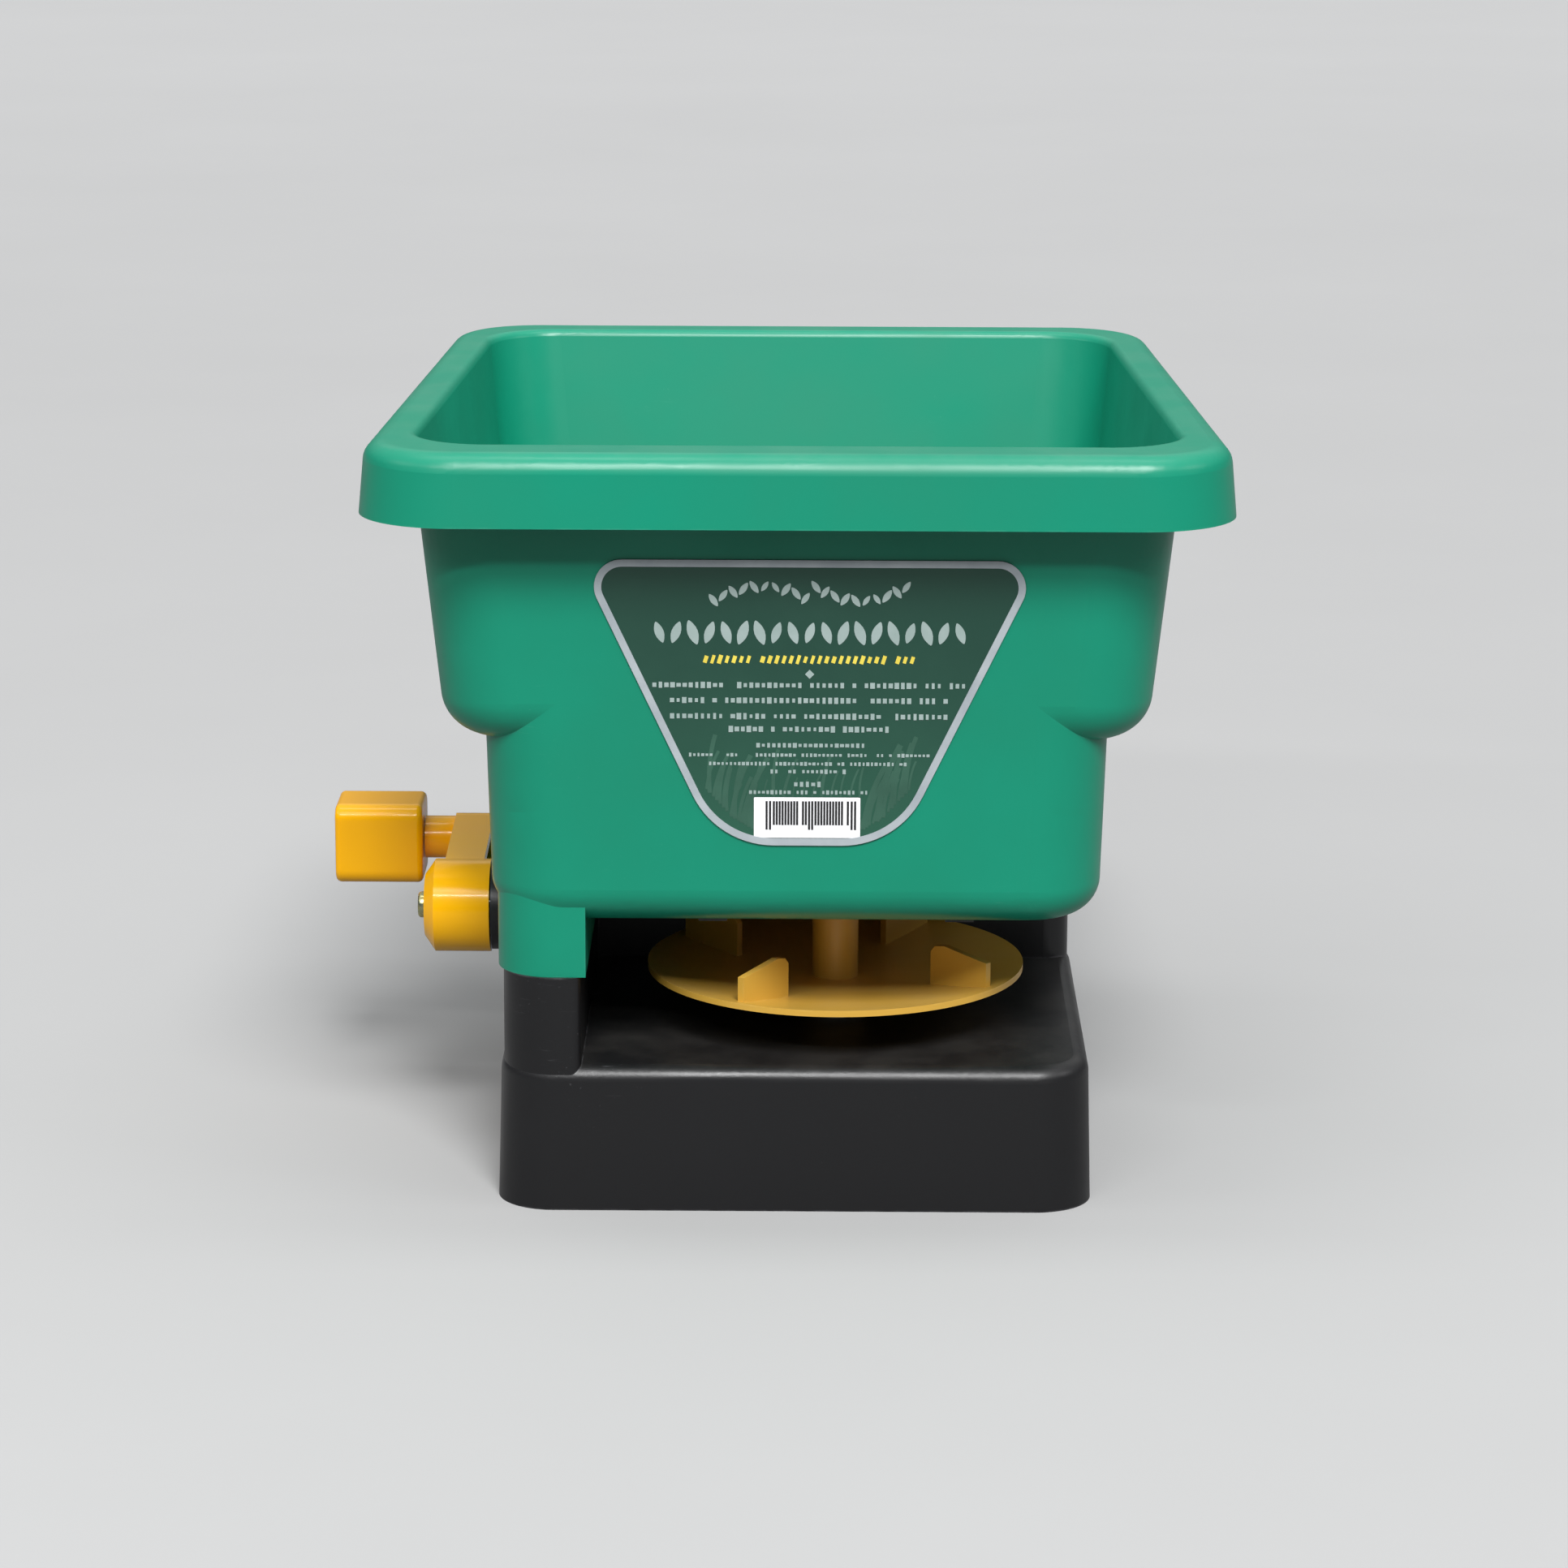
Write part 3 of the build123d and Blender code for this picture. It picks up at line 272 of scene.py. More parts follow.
@dataclass(frozen=True)
class Finish:
    """A surface finish; each kind wires its own nodes."""

    name: str
    colour: Colour
    shade: Colour
    roughness: float

    def build(self, effects: Effects) -> Material:
        """Makes the material with its shader and output.

        Args:
            effects: The shared groups.

        Returns:
            The material.
        """
        material = bpy.data.materials.new(self.name)
        material.use_nodes = True
        material.diffuse_color = (*self.colour, 1.0)
        desk = NodeDesk(material.node_tree)
        place = desk.add("ShaderNodeTexCoord").outputs["Object"]
        shader = desk.add("ShaderNodeBsdfPrincipled")
        desk.add("ShaderNodeOutputMaterial", {"Surface": shader.outputs[0]})
        self.wire(Bench(desk, shader, place, effects))
        return material

    def wire(self, bench: Bench) -> None:
        """Wires the shader."""
        raise NotImplementedError


@dataclass(frozen=True)
class MouldedPlastic(Finish):
    """Injection-moulded plastic with mould grain, flow marks, scuffs, a little dust and lighter edges, partly rubbing
    wear and partly a painted highlight.
    """

    grain_size: float = 2500.0
    grain_depth: float = 0.02
    flow_size: float = 14.0
    scuff: float = 0.25
    dust: float = 0.15
    dust_colour: Colour = srgb(196, 192, 182)
    # Edge lightening, amount and colour: partly rubbing wear, partly a painted highlight; the colour also lightens
    # the scuffs.
    rub_and_highlight: float = 0.25
    rub_and_highlight_colour: Colour = (0.5, 0.5, 0.5)
    coat: Coat = Coat.NONE
    coat_roughness: float = 0.08
    specular: float = 0.5
    rough_swing: float = 0.08

    def wire(self, bench: Bench) -> None:
        """Wires the shader.

        Args:
            bench: The finish's nodes.
        """
        desk, effects = bench.desk, bench.effects
        grain = bench.use(effects.grain, Grain_Size=self.grain_size, Flow_Size=self.flow_size)
        scuffs = bench.use(effects.scuffs, Amount=self.scuff)["Mask"]
        dust = bench.use(effects.dust, Amount=self.dust)["Mask"]
        edges = bench.use(effects.edges, Amount=self.rub_and_highlight)["Mask"]
        body = desk.mix(grain["Mottle"], self.colour, self.shade)
        # Scuffs and edges lighten to one colour; on the edges that is partly wear, partly a painted highlight.
        worn_and_highlit = desk.mix(desk.maths("MAXIMUM", scuffs, edges), body, self.rub_and_highlight_colour)
        low, high = self.roughness - self.rough_swing, self.roughness + self.rough_swing
        rough = desk.maths("ADD", desk.spread(grain["Mottle"], 0.0, 1.0, low, high), desk.times(scuffs, 0.35), True)
        bench.set(Base_Color=desk.mix(dust, worn_and_highlit, self.dust_colour), Roughness=rough,
                    Specular_IOR_Level=self.specular, Coat_Weight=self.coat.value, Coat_Roughness=self.coat_roughness)
        bench.bump(desk.maths("SUBTRACT", grain["Height"], desk.times(scuffs, 0.4)), 0.55, self.grain_depth)


@dataclass(frozen=True)
class BrightMetal(Finish):
    """Turned or drawn metal with fine tool lines and a blotchy film."""

    line_scale: Spot = (300.0, 6000.0, 6000.0)

    def wire(self, bench: Bench) -> None:
        """Wires the shader.

        Args:
            bench: The finish's nodes.
        """
        desk = bench.desk
        turn = desk.add("ShaderNodeMapping", {"Scale": self.line_scale, "Vector": bench.place})
        lines = desk.noise(turn.outputs[0], 1.0, 2.0)
        mottle = bench.use(bench.effects.grain, Grain_Size=3000.0, Flow_Size=420.0)["Mottle"]
        rough = desk.spread(lines, 0.3, 0.7, self.roughness - 0.08, self.roughness + 0.1)
        bench.set(Base_Color=desk.mix(mottle, self.colour, self.shade), Roughness=rough, Metallic=1.0)
        bench.bump(lines, 0.3, 0.01)


@dataclass(frozen=True)
class PrintedFilm(Finish):
    """Glossy printed film whose field lightens towards its foot."""

    top_z: float = 196.0
    foot_z: float = 118.0
    fall_power: float = 2.4

    def wire(self, bench: Bench) -> None:
        """Wires the shader.

        Args:
            bench: The finish's nodes.
        """
        desk = bench.desk
        fall = desk.spread(desk.split(bench.place)["Z"], self.top_z * MM, self.foot_z * MM)
        fall = desk.maths("POWER", fall, self.fall_power)
        mottle = bench.use(bench.effects.grain, Grain_Size=1800.0, Flow_Size=60.0)["Mottle"]
        wash = desk.times(desk.maths("SUBTRACT", mottle, 0.5), 0.12)
        bench.set(Base_Color=desk.mix(desk.maths("ADD", fall, wash, True), self.colour, self.shade),
                    Roughness=desk.spread(mottle, 0.0, 1.0, self.roughness - 0.04, self.roughness + 0.06))
        bench.bump(desk.noise(bench.place, 120.0), 0.25, 0.02)


@dataclass(frozen=True)
class PrintInk(Finish):
    """Ink or foil print with a faint screen texture."""

    def wire(self, bench: Bench) -> None:
        """Wires the shader.

        Args:
            bench: The finish's nodes.
        """
        desk = bench.desk
        grain = bench.use(bench.effects.grain, Grain_Size=4200.0, Flow_Size=90.0)
        rough = desk.spread(grain["Height"], 0.3, 0.7, self.roughness - 0.05, self.roughness + 0.05)
        bench.set(Base_Color=desk.mix(grain["Mottle"], self.colour, self.shade), Roughness=rough)


class Palette:
    """Every finish of the spreader, built once."""

    def __init__(self) -> None:
        """Builds the shared effects and all materials."""
        effects = Effects()
        # Each plastic's edge colour lightens scuffs and edges: partly wear, partly a painted highlight.
        finishes = (
            MouldedPlastic("green_polypropylene", srgb(10, 133, 105), srgb(6, 126, 98), 0.36, grain_depth=0.012,
                           scuff=0.12, dust=0.05, rub_and_highlight=0.12, rub_and_highlight_colour=srgb(120, 190, 170), specular=0.4),
            MouldedPlastic("black_grained_abs", srgb(20, 20, 22), srgb(13, 13, 15), 0.36, grain_size=1300.0,
                           grain_depth=0.05, scuff=0.22, dust=0.035, rub_and_highlight=0.35, rub_and_highlight_colour=srgb(120, 120, 124)),
            MouldedPlastic("yellow_gloss_abs", srgb(255, 188, 0), srgb(252, 180, 0), 0.2, grain_depth=0.006,
                           scuff=0.10, dust=0.04, rub_and_highlight=0.10, rub_and_highlight_colour=srgb(240, 205, 120), coat=Coat.GLOSS,
                           specular=0.2, rough_swing=0.04),
            MouldedPlastic("yellow_satin_pp", srgb(206, 162, 66), srgb(196, 152, 56), 0.38, grain_depth=0.02,
                           scuff=0.2, dust=0.08, rub_and_highlight=0.2, rub_and_highlight_colour=srgb(240, 205, 120), coat=Coat.SATIN),
            MouldedPlastic("natural_nylon", srgb(205, 203, 192), srgb(190, 186, 172), 0.42, grain_depth=0.03),
            MouldedPlastic("soft_rubber", srgb(34, 34, 36), srgb(26, 26, 28), 0.72, grain_size=900.0,
                           grain_depth=0.12, scuff=0.3, dust=0.2, rub_and_highlight_colour=srgb(90, 90, 90), specular=0.25),
            BrightMetal("drawn_steel", srgb(188, 190, 194), srgb(160, 163, 168), 0.3),
            BrightMetal("zinc_yellow", srgb(206, 188, 120), srgb(170, 178, 150), 0.26, line_scale=(2500, 2500, 2500)),
            PrintedFilm("label_field", srgb(27, 64, 52), srgb(36, 84, 66), 0.34),
            PrintInk("label_silver", srgb(168, 176, 180), srgb(150, 158, 164), 0.35),
            PrintInk("label_pale_ink", srgb(154, 170, 167), srgb(142, 160, 156), 0.4),
            PrintInk("label_yellow_ink", srgb(226, 208, 84), srgb(214, 194, 74), 0.4),
            PrintInk("label_grass_ink", srgb(52, 92, 76), srgb(44, 82, 67), 0.4),
            PrintInk("label_white", srgb(240, 240, 242), srgb(232, 232, 235), 0.4),
            PrintInk("label_black", srgb(24, 24, 26), srgb(32, 32, 34), 0.4),
            PrintInk("dial_white_ink", srgb(235, 235, 230), srgb(220, 220, 214), 0.45),
        )
        self.materials = {finish.name: finish.build(effects) for finish in finishes}

    def __getitem__(self, name: str) -> Material:
        """Gives a material by its finish's name."""
        return self.materials[name]


# ---- mesh helpers


def closed_mesh(build: Callable[[BMesh], None]) -> Mesh:
    """Builds a flat-shaded mesh with bmesh and turns its faces outwards.

    Args:
        build: Fills the bmesh.

    Returns:
        The mesh.
    """
    work = bmesh.new()
    build(work)
    bmesh.ops.remove_doubles(work, verts=work.verts, dist=1e-6)
    bmesh.ops.recalc_face_normals(work, faces=work.faces)
    for face in work.faces:
        face.smooth = False
    mesh = bpy.data.meshes.new("closed")
    work.to_mesh(mesh)
    work.free()
    return mesh


def rounded_outline(corners: Sequence[Point], radii: Sequence[float], inset: float, steps: int = 14) -> list[Point]:
    """Rounds a convex outline's corners, drawn in by inset.

    Args:
        corners: The corners, anticlockwise.
        radii: One radius for each corner.
        inset: How far to draw the outline in.
        steps: Steps in each arc.

    Returns:
        The outline's points.
    """
    points: list[Point] = []
    for index, (corner, radius) in enumerate(zip(corners, radii)):
        here = Vector(corner)
        back = (Vector(corners[index - 1]) - here).normalized()
        ahead = (Vector(corners[(index + 1) % len(corners)]) - here).normalized()
        half = back.angle(ahead) / 2
        centre = here + (back + ahead).normalized() * (radius / math.sin(half))
        touch = here + back * (radius / math.tan(half)) - centre
        start = math.atan2(touch.y, touch.x)
        for step in range(steps + 1):
            angle = start + (math.pi - 2 * half) * step / steps
            reach = radius - inset
            points.append((centre.x + reach * math.cos(angle), centre.y + reach * math.sin(angle)))
    return points


def wall_loop(work: BMesh, first: Sequence[object], second: Sequence[object]) -> None:
    """Joins two closed rows of as many vertices with a band of faces."""
    for k, after in enumerate((*range(1, len(first)), 0)):
        work.faces.new((first[k], first[after], second[after], second[k]))


def prism(work: BMesh, face: Sequence[Spot], back: Sequence[Spot]) -> None:
    """Makes a closed prism between a face and its back.

    Args:
        work: The bmesh to add to.
        face: The face's corners, in mm.
        back: The back's corners, in the same order.
    """
    near, far = ([work.verts.new(metres(*spot)) for spot in side] for side in (face, back))
    work.faces.new(near)
    work.faces.new(far[::-1])
    wall_loop(work, near, far)


class Grower:
    """Geometry Nodes trees for what repeats, turned into plain meshes."""

    def __init__(self) -> None:
        """Builds the trees."""
        self.row, self.leaves = self._row(), self._leaves()
        self.ribs, self.tuft = self._ribs(), self._tuft()

    @staticmethod
    def _tree(name: str, **kinds: str) -> tuple[NodeDesk, object]:
        """Starts a tree with named inputs and a geometry output.

        Args:
            name: The tree's name.
            **kinds: The inputs' names for each kind.

        Returns:
            The tree's desk and its given sockets.
        """
        tree = bpy.data.node_groups.new(name, "GeometryNodeTree")
        tree.interface.new_socket("Geometry", in_out="OUTPUT", socket_type="NodeSocketGeometry")
        for kind, names in {**kinds, "Material": "Material"}.items():
            for name in names.split():
                tree.interface.new_socket(name, in_out="INPUT", socket_type="NodeSocket" + kind)
        desk = NodeDesk(tree)
        return desk, desk.add("NodeGroupInput").outputs

    @staticmethod
    def _finish(desk: NodeDesk, geometry: Socket, material: Socket) -> Tree:
        """Ends a tree in Realize Instances and Set Material.

        Args:
            desk: The tree's desk.
            geometry: What to put out.
            material: The material input.

        Returns:
            The finished tree.
        """
        solid = desk.add("GeometryNodeRealizeInstances", {0: geometry})
        paint = desk.add("GeometryNodeSetMaterial", {"Geometry": solid.outputs[0], "Material": material})
        desk.add("NodeGroupOutput", {0: paint.outputs[0]})
        return desk.tree

    @staticmethod
    def _chance(desk: NodeDesk, low: object, high: object, seed: object) -> Socket:
        """Adds a random number for each instance."""
        return desk.add("FunctionNodeRandomValue", {2: low, 3: high, "Seed": seed}, data_type="FLOAT").outputs[1]

    @staticmethod
    def _path(desk: NodeDesk, given: object, resolution: int) -> Socket:
        """Adds evenly spaced points along a curve through the three given ones.

        Args:
            desk: The tree's desk.
            given: The tree's given sockets.
            resolution: The curve's steps.

        Returns:
            The points.
        """
        path = desk.add("GeometryNodeCurveQuadraticBezier", {
            "Resolution": resolution, "Start": given["Start"], "Middle": given["Middle"], "End": given["End"]})
        inputs = {"Curve": path.outputs[0], "Count": given["Count"]}
        return desk.add("GeometryNodeCurveToPoints", inputs, mode="COUNT").outputs[0]

    @staticmethod
    def _line(desk: NodeDesk, given: object) -> Socket:
        """Adds evenly spaced points on a straight line between the two given ones."""
        inputs = {"Count": given["Count"], "Start Location": given["Start"], "Offset": given["End"]}
        return desk.add("GeometryNodeMeshLine", inputs, mode="END_POINTS").outputs[0]

    def _row(self) -> Tree:
        """Makes a row of thin tiles of random widths and heights, with a gap here and there.

        Returns:
            The tree.
        """
        desk, given = self._tree("row_of_tiles", Vector="Start End Tile", Int="Count Seed", Float="Least Kept Slant")
        tile = desk.add("GeometryNodeMeshCube", {"Size": given["Tile"]})
        wide = self._chance(desk, given["Least"], 1.0, given["Seed"])
        high = self._chance(desk, given["Least"], 1.0, desk.maths("ADD", given["Seed"], 31.0))
        drawn = {"Probability": given["Kept"], "Seed": given["Seed"]}
        kept = desk.add("FunctionNodeRandomValue", drawn, data_type="BOOLEAN")
        copies = desk.add("GeometryNodeInstanceOnPoints", {
            "Points": self._line(desk, given), "Selection": kept.outputs[3], "Instance": tile.outputs[0],
            "Rotation": desk.combine(y=given["Slant"]), "Scale": desk.combine(wide, 1.0, high)})
        return self._finish(desk, copies.outputs[0], given["Material"])

    def _leaves(self) -> Tree:
        """Makes pointed leaves along a curve, leaning to and fro by turns.

        Returns:
            The tree.
        """
        desk, given = self._tree("leaf_row", Vector="Start Middle End", Int="Count Seed",
                                 Float="Length Width Thickness Lean Least")
        disc = desk.add("GeometryNodeMeshCylinder", {"Vertices": 18, "Radius": 0.5, "Depth": 1.0}, fill_type="NGON")
        at = desk.split(desk.add("GeometryNodeInputPosition").outputs[0])
        near_tip = desk.maths("POWER", desk.maths("ABSOLUTE", desk.times(at["Y"], 2.0)), 2.0)
        slim = desk.maths("SUBTRACT", 1.0, desk.times(near_tip, 0.45))
        leaf = desk.add("GeometryNodeSetPosition", {"Geometry": disc.outputs[0], "Position": desk.combine(
            desk.times(at["X"], slim), at["Z"], at["Y"])})
        index = desk.add("GeometryNodeInputIndex").outputs[0]
        flip = desk.maths("SUBTRACT", desk.times(desk.maths("MODULO", index, 2.0), 2.0), 1.0)
        some = self._chance(desk, given["Least"], 1.0, given["Seed"])
        wide, long = desk.times(some, given["Width"]), desk.times(some, given["Length"])
        copies = desk.add("GeometryNodeInstanceOnPoints", {
            "Points": self._path(desk, given, 24), "Instance": leaf.outputs[0],
            "Rotation": desk.combine(y=desk.times(flip, given["Lean"])),
            "Scale": desk.combine(wide, given["Thickness"], long)})
        solid = desk.add("GeometryNodeRealizeInstances", {0: copies.outputs[0]})
        turned = desk.add("GeometryNodeFlipFaces", {0: solid.outputs[0]})
        return self._finish(desk, turned.outputs[0], given["Material"])

    def _ribs(self) -> Tree:
        """Makes round-ended bars spaced evenly along a curve.

        Returns:
            The tree.
        """
        desk, given = self._tree("rib_row", Vector="Start Middle End Turn", Int="Count", Float="Length Radius")
        ball = desk.add("GeometryNodeMeshUVSphere", {"Segments": 20, "Rings": 14, "Radius": given["Radius"]})
        at = desk.split(desk.add("GeometryNodeInputPosition").outputs[0])
        reach = desk.times(desk.maths("SIGN", at["Z"]), desk.times(given["Length"], 0.5))
        rib = desk.add("GeometryNodeSetPosition", {"Geometry": ball.outputs[0], "Position": desk.combine(
            at["X"], at["Y"], desk.maths("ADD", at["Z"], reach))})
        copies = desk.add("GeometryNodeInstanceOnPoints", {
            "Points": self._path(desk, given, 32), "Instance": rib.outputs[0], "Rotation": given["Turn"]})
        return self._finish(desk, copies.outputs[0], given["Material"])

    def _tuft(self) -> Tree:
        """Makes leaning grass blades standing along a line, each in a layer of its own.

        Returns:
            The tree.
        """
        desk, given = self._tree("grass_tuft", Vector="Start End", Int="Count Seed",
                                 Float="Height Width Thickness Lean")
        stem = desk.add("GeometryNodeCurveQuadraticBezier", {
            "Resolution": 9, "Start": (0.0, 0.0, 0.0), "Middle": (0.02, 0.0, 0.55), "End": (0.22, 0.0, 1.0)})
        left = desk.maths("SUBTRACT", 1.06, desk.add("GeometryNodeSplineParameter").outputs["Factor"])
        slim = desk.maths("POWER", left, 0.7)
        taper = desk.add("GeometryNodeSetCurveRadius", {"Curve": stem.outputs[0], "Radius": slim})
        cut = {"Width": given["Thickness"], "Height": given["Width"]}
        flat = desk.add("GeometryNodeCurvePrimitiveQuadrilateral", cut)
        skin = desk.add("GeometryNodeCurveToMesh", {
            "Curve": taper.outputs[0], "Profile Curve": flat.outputs[0], "Fill Caps": True})
        sharp = desk.add("GeometryNodeSetShadeSmooth", {"Geometry": skin.outputs[0], "Shade Smooth": False})
        tall = self._chance(desk, desk.times(given["Height"], 0.35), given["Height"], given["Seed"])
        other = desk.maths("ADD", given["Seed"], 7.0)
        tilt = self._chance(desk, desk.times(given["Lean"], -1.0), given["Lean"], other)
        index = desk.add("GeometryNodeInputIndex").outputs[0]
        layered = desk.add("GeometryNodeSetPosition", {
            "Geometry": self._line(desk, given), "Offset": desk.combine(y=desk.times(index, -0.002 * MM))})
        copies = desk.add("GeometryNodeInstanceOnPoints", {
            "Points": layered.outputs[0], "Instance": sharp.outputs[0], "Rotation": desk.combine(y=tilt),
            "Scale": desk.combine(tall, 1.0, tall)})
        return self._finish(desk, copies.outputs[0], given["Material"])

    @staticmethod
    def grow(tree: Tree, **values: object) -> Mesh:
        """Runs a tree with the given inputs and keeps its result as a plain mesh.

        Args:
            tree: The Geometry Nodes tree.
            **values: Values for its named inputs.

        Returns:
            The plain mesh.
        """
        seedling = bpy.data.objects.new(tree.name, bpy.data.meshes.new(tree.name))
        bpy.context.scene.collection.objects.link(seedling)
        growth = seedling.modifiers.new("growth", "NODES")
        growth.node_group = tree
        sockets = {item.name: item.identifier for item in tree.interface.items_tree if item.in_out == "INPUT"}
        for key, value in values.items():
            growth[sockets[key]] = value
        graph = bpy.context.evaluated_depsgraph_get()
        mesh = bpy.data.meshes.new_from_object(seedling.evaluated_get(graph))
        bpy.data.objects.remove(seedling)
        return mesh


# ---- sub-assemblies


@dataclass
class DressedNodes:
    """CAD nodes that keep their shape and get their finish."""

    finish_of: dict[str, str] = field(default_factory=lambda: {
        "green_plastic": "green_polypropylene", "black_plastic": "black_grained_abs",
        "yellow_gloss": "yellow_gloss_abs", "yellow_satin": "yellow_satin_pp", "grey_nylon": "natural_nylon",
        "steel": "drawn_steel", "zinc_screw": "zinc_yellow", "rubber": "soft_rubber", "label_film": "label_field"})

    def dress(self, palette: Palette) -> int:
        """Gives every CAD node the finish of its record slot.

        Args:
            palette: The built finishes.

        Returns:
            How many nodes were dressed.
        """
        slots = {part["node"]: part["material_slot"] for part in frame["record"]["subparts"]}
        for name, node in frame["nodes"].items():
            material = palette[self.finish_of[slots[name]]]
            for place in node.material_slots:
                place.material = material
            if not node.material_slots:
                node.data.materials.append(material)
        return len(frame["nodes"])


@dataclass
class Assembly:
    """A sub-assembly, with the finishes and the trees it is made from."""

    palette: Palette
    grower: Grower

    def build(self) -> list[Thing]:
        """Builds the pieces."""
        raise NotImplementedError

    def lay(self, name: str, meshes: Iterable[Mesh], finish: str, body: str, slot: str) -> Thing:
        """Joins plain meshes into one finished object that rides on a body.

        Args:
            name: The piece's name.
            meshes: Its meshes, already in place; each is removed afterwards.
            finish: The finish's name.
            body: The body it moves with.
            slot: Not used.

        Returns:
            The object.
        """
        work = bmesh.new()
        for mesh in meshes:
            work.from_mesh(mesh)
            bpy.data.meshes.remove(mesh)
        whole = bpy.data.meshes.new(name)
        work.to_mesh(whole)
        work.free()
        whole.materials.append(self.palette[finish])
        piece = bpy.data.objects.new(name, whole)
        bpy.context.scene.collection.objects.link(piece)
        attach(piece, body)
        return piece

    def ribs(self, path: Sequence[Sequence[float]], count: int, size: Point, turn: Spot, finish: str) -> Mesh:
        """Grows a row of round-ended ribs along a path's start, middle and end, sized by length and radius in mm."""
        (start, middle, end), (length, radius) = path, metres(*size)
        return self.grower.grow(self.grower.ribs, Start=start, Middle=middle, End=end, Count=count,
                                Length=length, Radius=radius, Turn=turn, Material=self.palette[finish])


@dataclass(frozen=True)
class PrintRow:
    """One line of small printed marks: its ends, height, size and how many marks it has."""

    left: float
    right: float
    z: float
    high: float
    count: int
    kept: float = 0.84
    fill: float = 0.8


@dataclass
class PrintedLabel(Assembly):
    """The print on the front label: border, garland, rows of marks, grass and a bar block."""

    face_y: float = -75.35
    corners: tuple[Point, ...] = ((-63.0, 196.4), (-22.9, 111.9), (29.6, 111.9), (70.6, 196.4))
    radii: tuple[float, ...] = (8.0, 26.0, 26.0, 8.0)
    border: float = 2.1
    layer: float = 0.05
    middle: float = 3.8
    rows: tuple[PrintRow, ...] = (
        PrintRow(-41.9, 49.1, 159.6, 1.9, 52), PrintRow(-36.8, 44.0, 155.1, 1.9, 46),
        PrintRow(-36.8, 44.0, 150.4, 1.9, 46), PrintRow(-19.8, 27.1, 146.6, 1.9, 27),
        PrintRow(-13.3, 20.1, 141.8, 1.5, 22), PrintRow(-31.3, 38.8, 138.9, 1.2, 58),
        PrintRow(-25.5, 32.2, 136.3, 1.2, 48), PrintRow(-7.7, 14.6, 134.0, 1.4, 17),
        PrintRow(-0.9, 7.5, 130.2, 1.7, 5, 1.0), PrintRow(-13.8, 21.0, 127.8, 1.3, 28),
    )
    sprigs: tuple[tuple[Point, Point, Point], ...] = (
        ((-24.0, 184.6), (-9.0, 192.5), (2.5, 185.2)), ((5.5, 188.6), (18.0, 180.5), (31.5, 188.6)))
    block: tuple[Point, ...] = ((-12.2, 114.2), (18.7, 114.2), (18.7, 126.3), (-12.2, 126.3))

    def _at(self, x: float, z: float, depth: float) -> tuple[float, ...]:
        """Gives a point in a print layer, in metres, from X and Z in mm and the layer's number."""
        return metres(x, self.face_y - self.layer * (depth - 0.5), z)

    def _print(self, name: str, meshes: Iterable[Mesh], ink: str) -> Thing:
        """Lays print on the label."""
        return self.lay(name, meshes, ink, "frame", "label_film")

    def _tiles(self, start: Spot, end: Spot, count: int, size: Point, ink: str, **looks: float) -> Mesh:
        """Grows a row of tiles.

        Args:
            start: The first tile's middle, in metres.
            end: The last tile's middle, in metres.
            count: How many tiles.
            size: A tile's full width and height, in mm.
            ink: The ink's name.
            **looks: The tree's Least, Kept, Slant and Seed where they aren't plain.

        Returns:
            The plain mesh.
        """
        values = {"Least": 1.0, "Kept": 1.0, "Slant": 0.0, "Seed": 1, **looks}
        return self.grower.grow(self.grower.row, Start=start, End=end, Count=count,
                                Tile=metres(size[0], self.layer, size[1]), Material=self.palette[ink], **values)

    def _leafage(self, points: Sequence[Point], count: int, size: Point, **looks: float) -> Mesh:
        """Grows a row of leaves through three points, sized by length and width in mm."""
        start, middle, end = (self._at(x, z, 2) for x, z in points)
        return self.grower.grow(self.grower.leaves, Start=start, Middle=middle, End=end, Count=count,
                                Length=size[0] * MM, Width=size[1] * MM, Thickness=self.layer * MM,
                                Material=self.palette["label_pale_ink"], **looks)

    def _border(self) -> Thing:
        """Prints the silver border.

        Returns:
            The piece.
        """
        outer, inner = (rounded_outline(self.corners, self.radii, inset) for inset in (0.0, self.border))
        back, face = self.face_y, self.face_y - 5 * self.layer

        def ring(work: BMesh) -> None:
            """Fills a closed flat ring."""
            loops = [[work.verts.new(metres(x, y, z)) for x, z in outline]
                     for outline, y in ((outer, back), (outer, face), (inner, face), (inner, back))]
            for first, second in zip(loops, loops[1:] + loops[:1]):
                wall_loop(work, first, second)

        return self._print("label_border", [closed_mesh(ring)], "label_silver")

    def _small_print(self) -> Thing:
        """Prints the rows of small marks and the lozenge above them.

        Returns:
            The piece.
        """
        meshes = []
        for number, row in enumerate(self.rows):
            pitch = (row.right - row.left) / row.count
            meshes.append(self._tiles(
                self._at(row.left + pitch / 2, row.z, 3), self._at(row.right - pitch / 2, row.z, 3), row.count,
                (pitch * row.fill, row.high), "label_pale_ink", Least=0.55, Kept=row.kept, Seed=11 + number))
        lozenge = self._at(self.middle, 162.9, 2)
        meshes.append(self._tiles(lozenge, lozenge, 1, (1.9, 1.9), "label_pale_ink", Slant=math.pi / 4))
        return self._print("label_small_print", meshes, "label_pale_ink")

    def _garland(self) -> Thing:
        """Prints the two leafy sprigs and the frieze of large leaves below them.

        Returns:
            The piece.
        """
        meshes = [self._leafage(points, 10, (4.5, 1.9), Lean=0.62, Least=0.7, Seed=3) for points in self.sprigs]
        frieze = ((-39.6, 175.1), (self.middle, 175.1), (47.2, 175.1))
        meshes.append(self._leafage(frieze, 19, (7.6, 3.1), Lean=0.34, Least=0.82, Seed=8))
        return self._print("label_garland", meshes, "label_pale_ink")

    def _accent(self) -> Thing:
        """Prints the row of slanting yellow strokes."""
        strokes = self._tiles(self._at(-26.2, 167.2, 2), self._at(33.4, 167.2, 2), 30, (1.25, 2.7),
                              "label_yellow_ink", Least=0.7, Kept=0.88, Slant=0.3, Seed=4)
        return self._print("label_accent", [strokes], "label_yellow_ink")

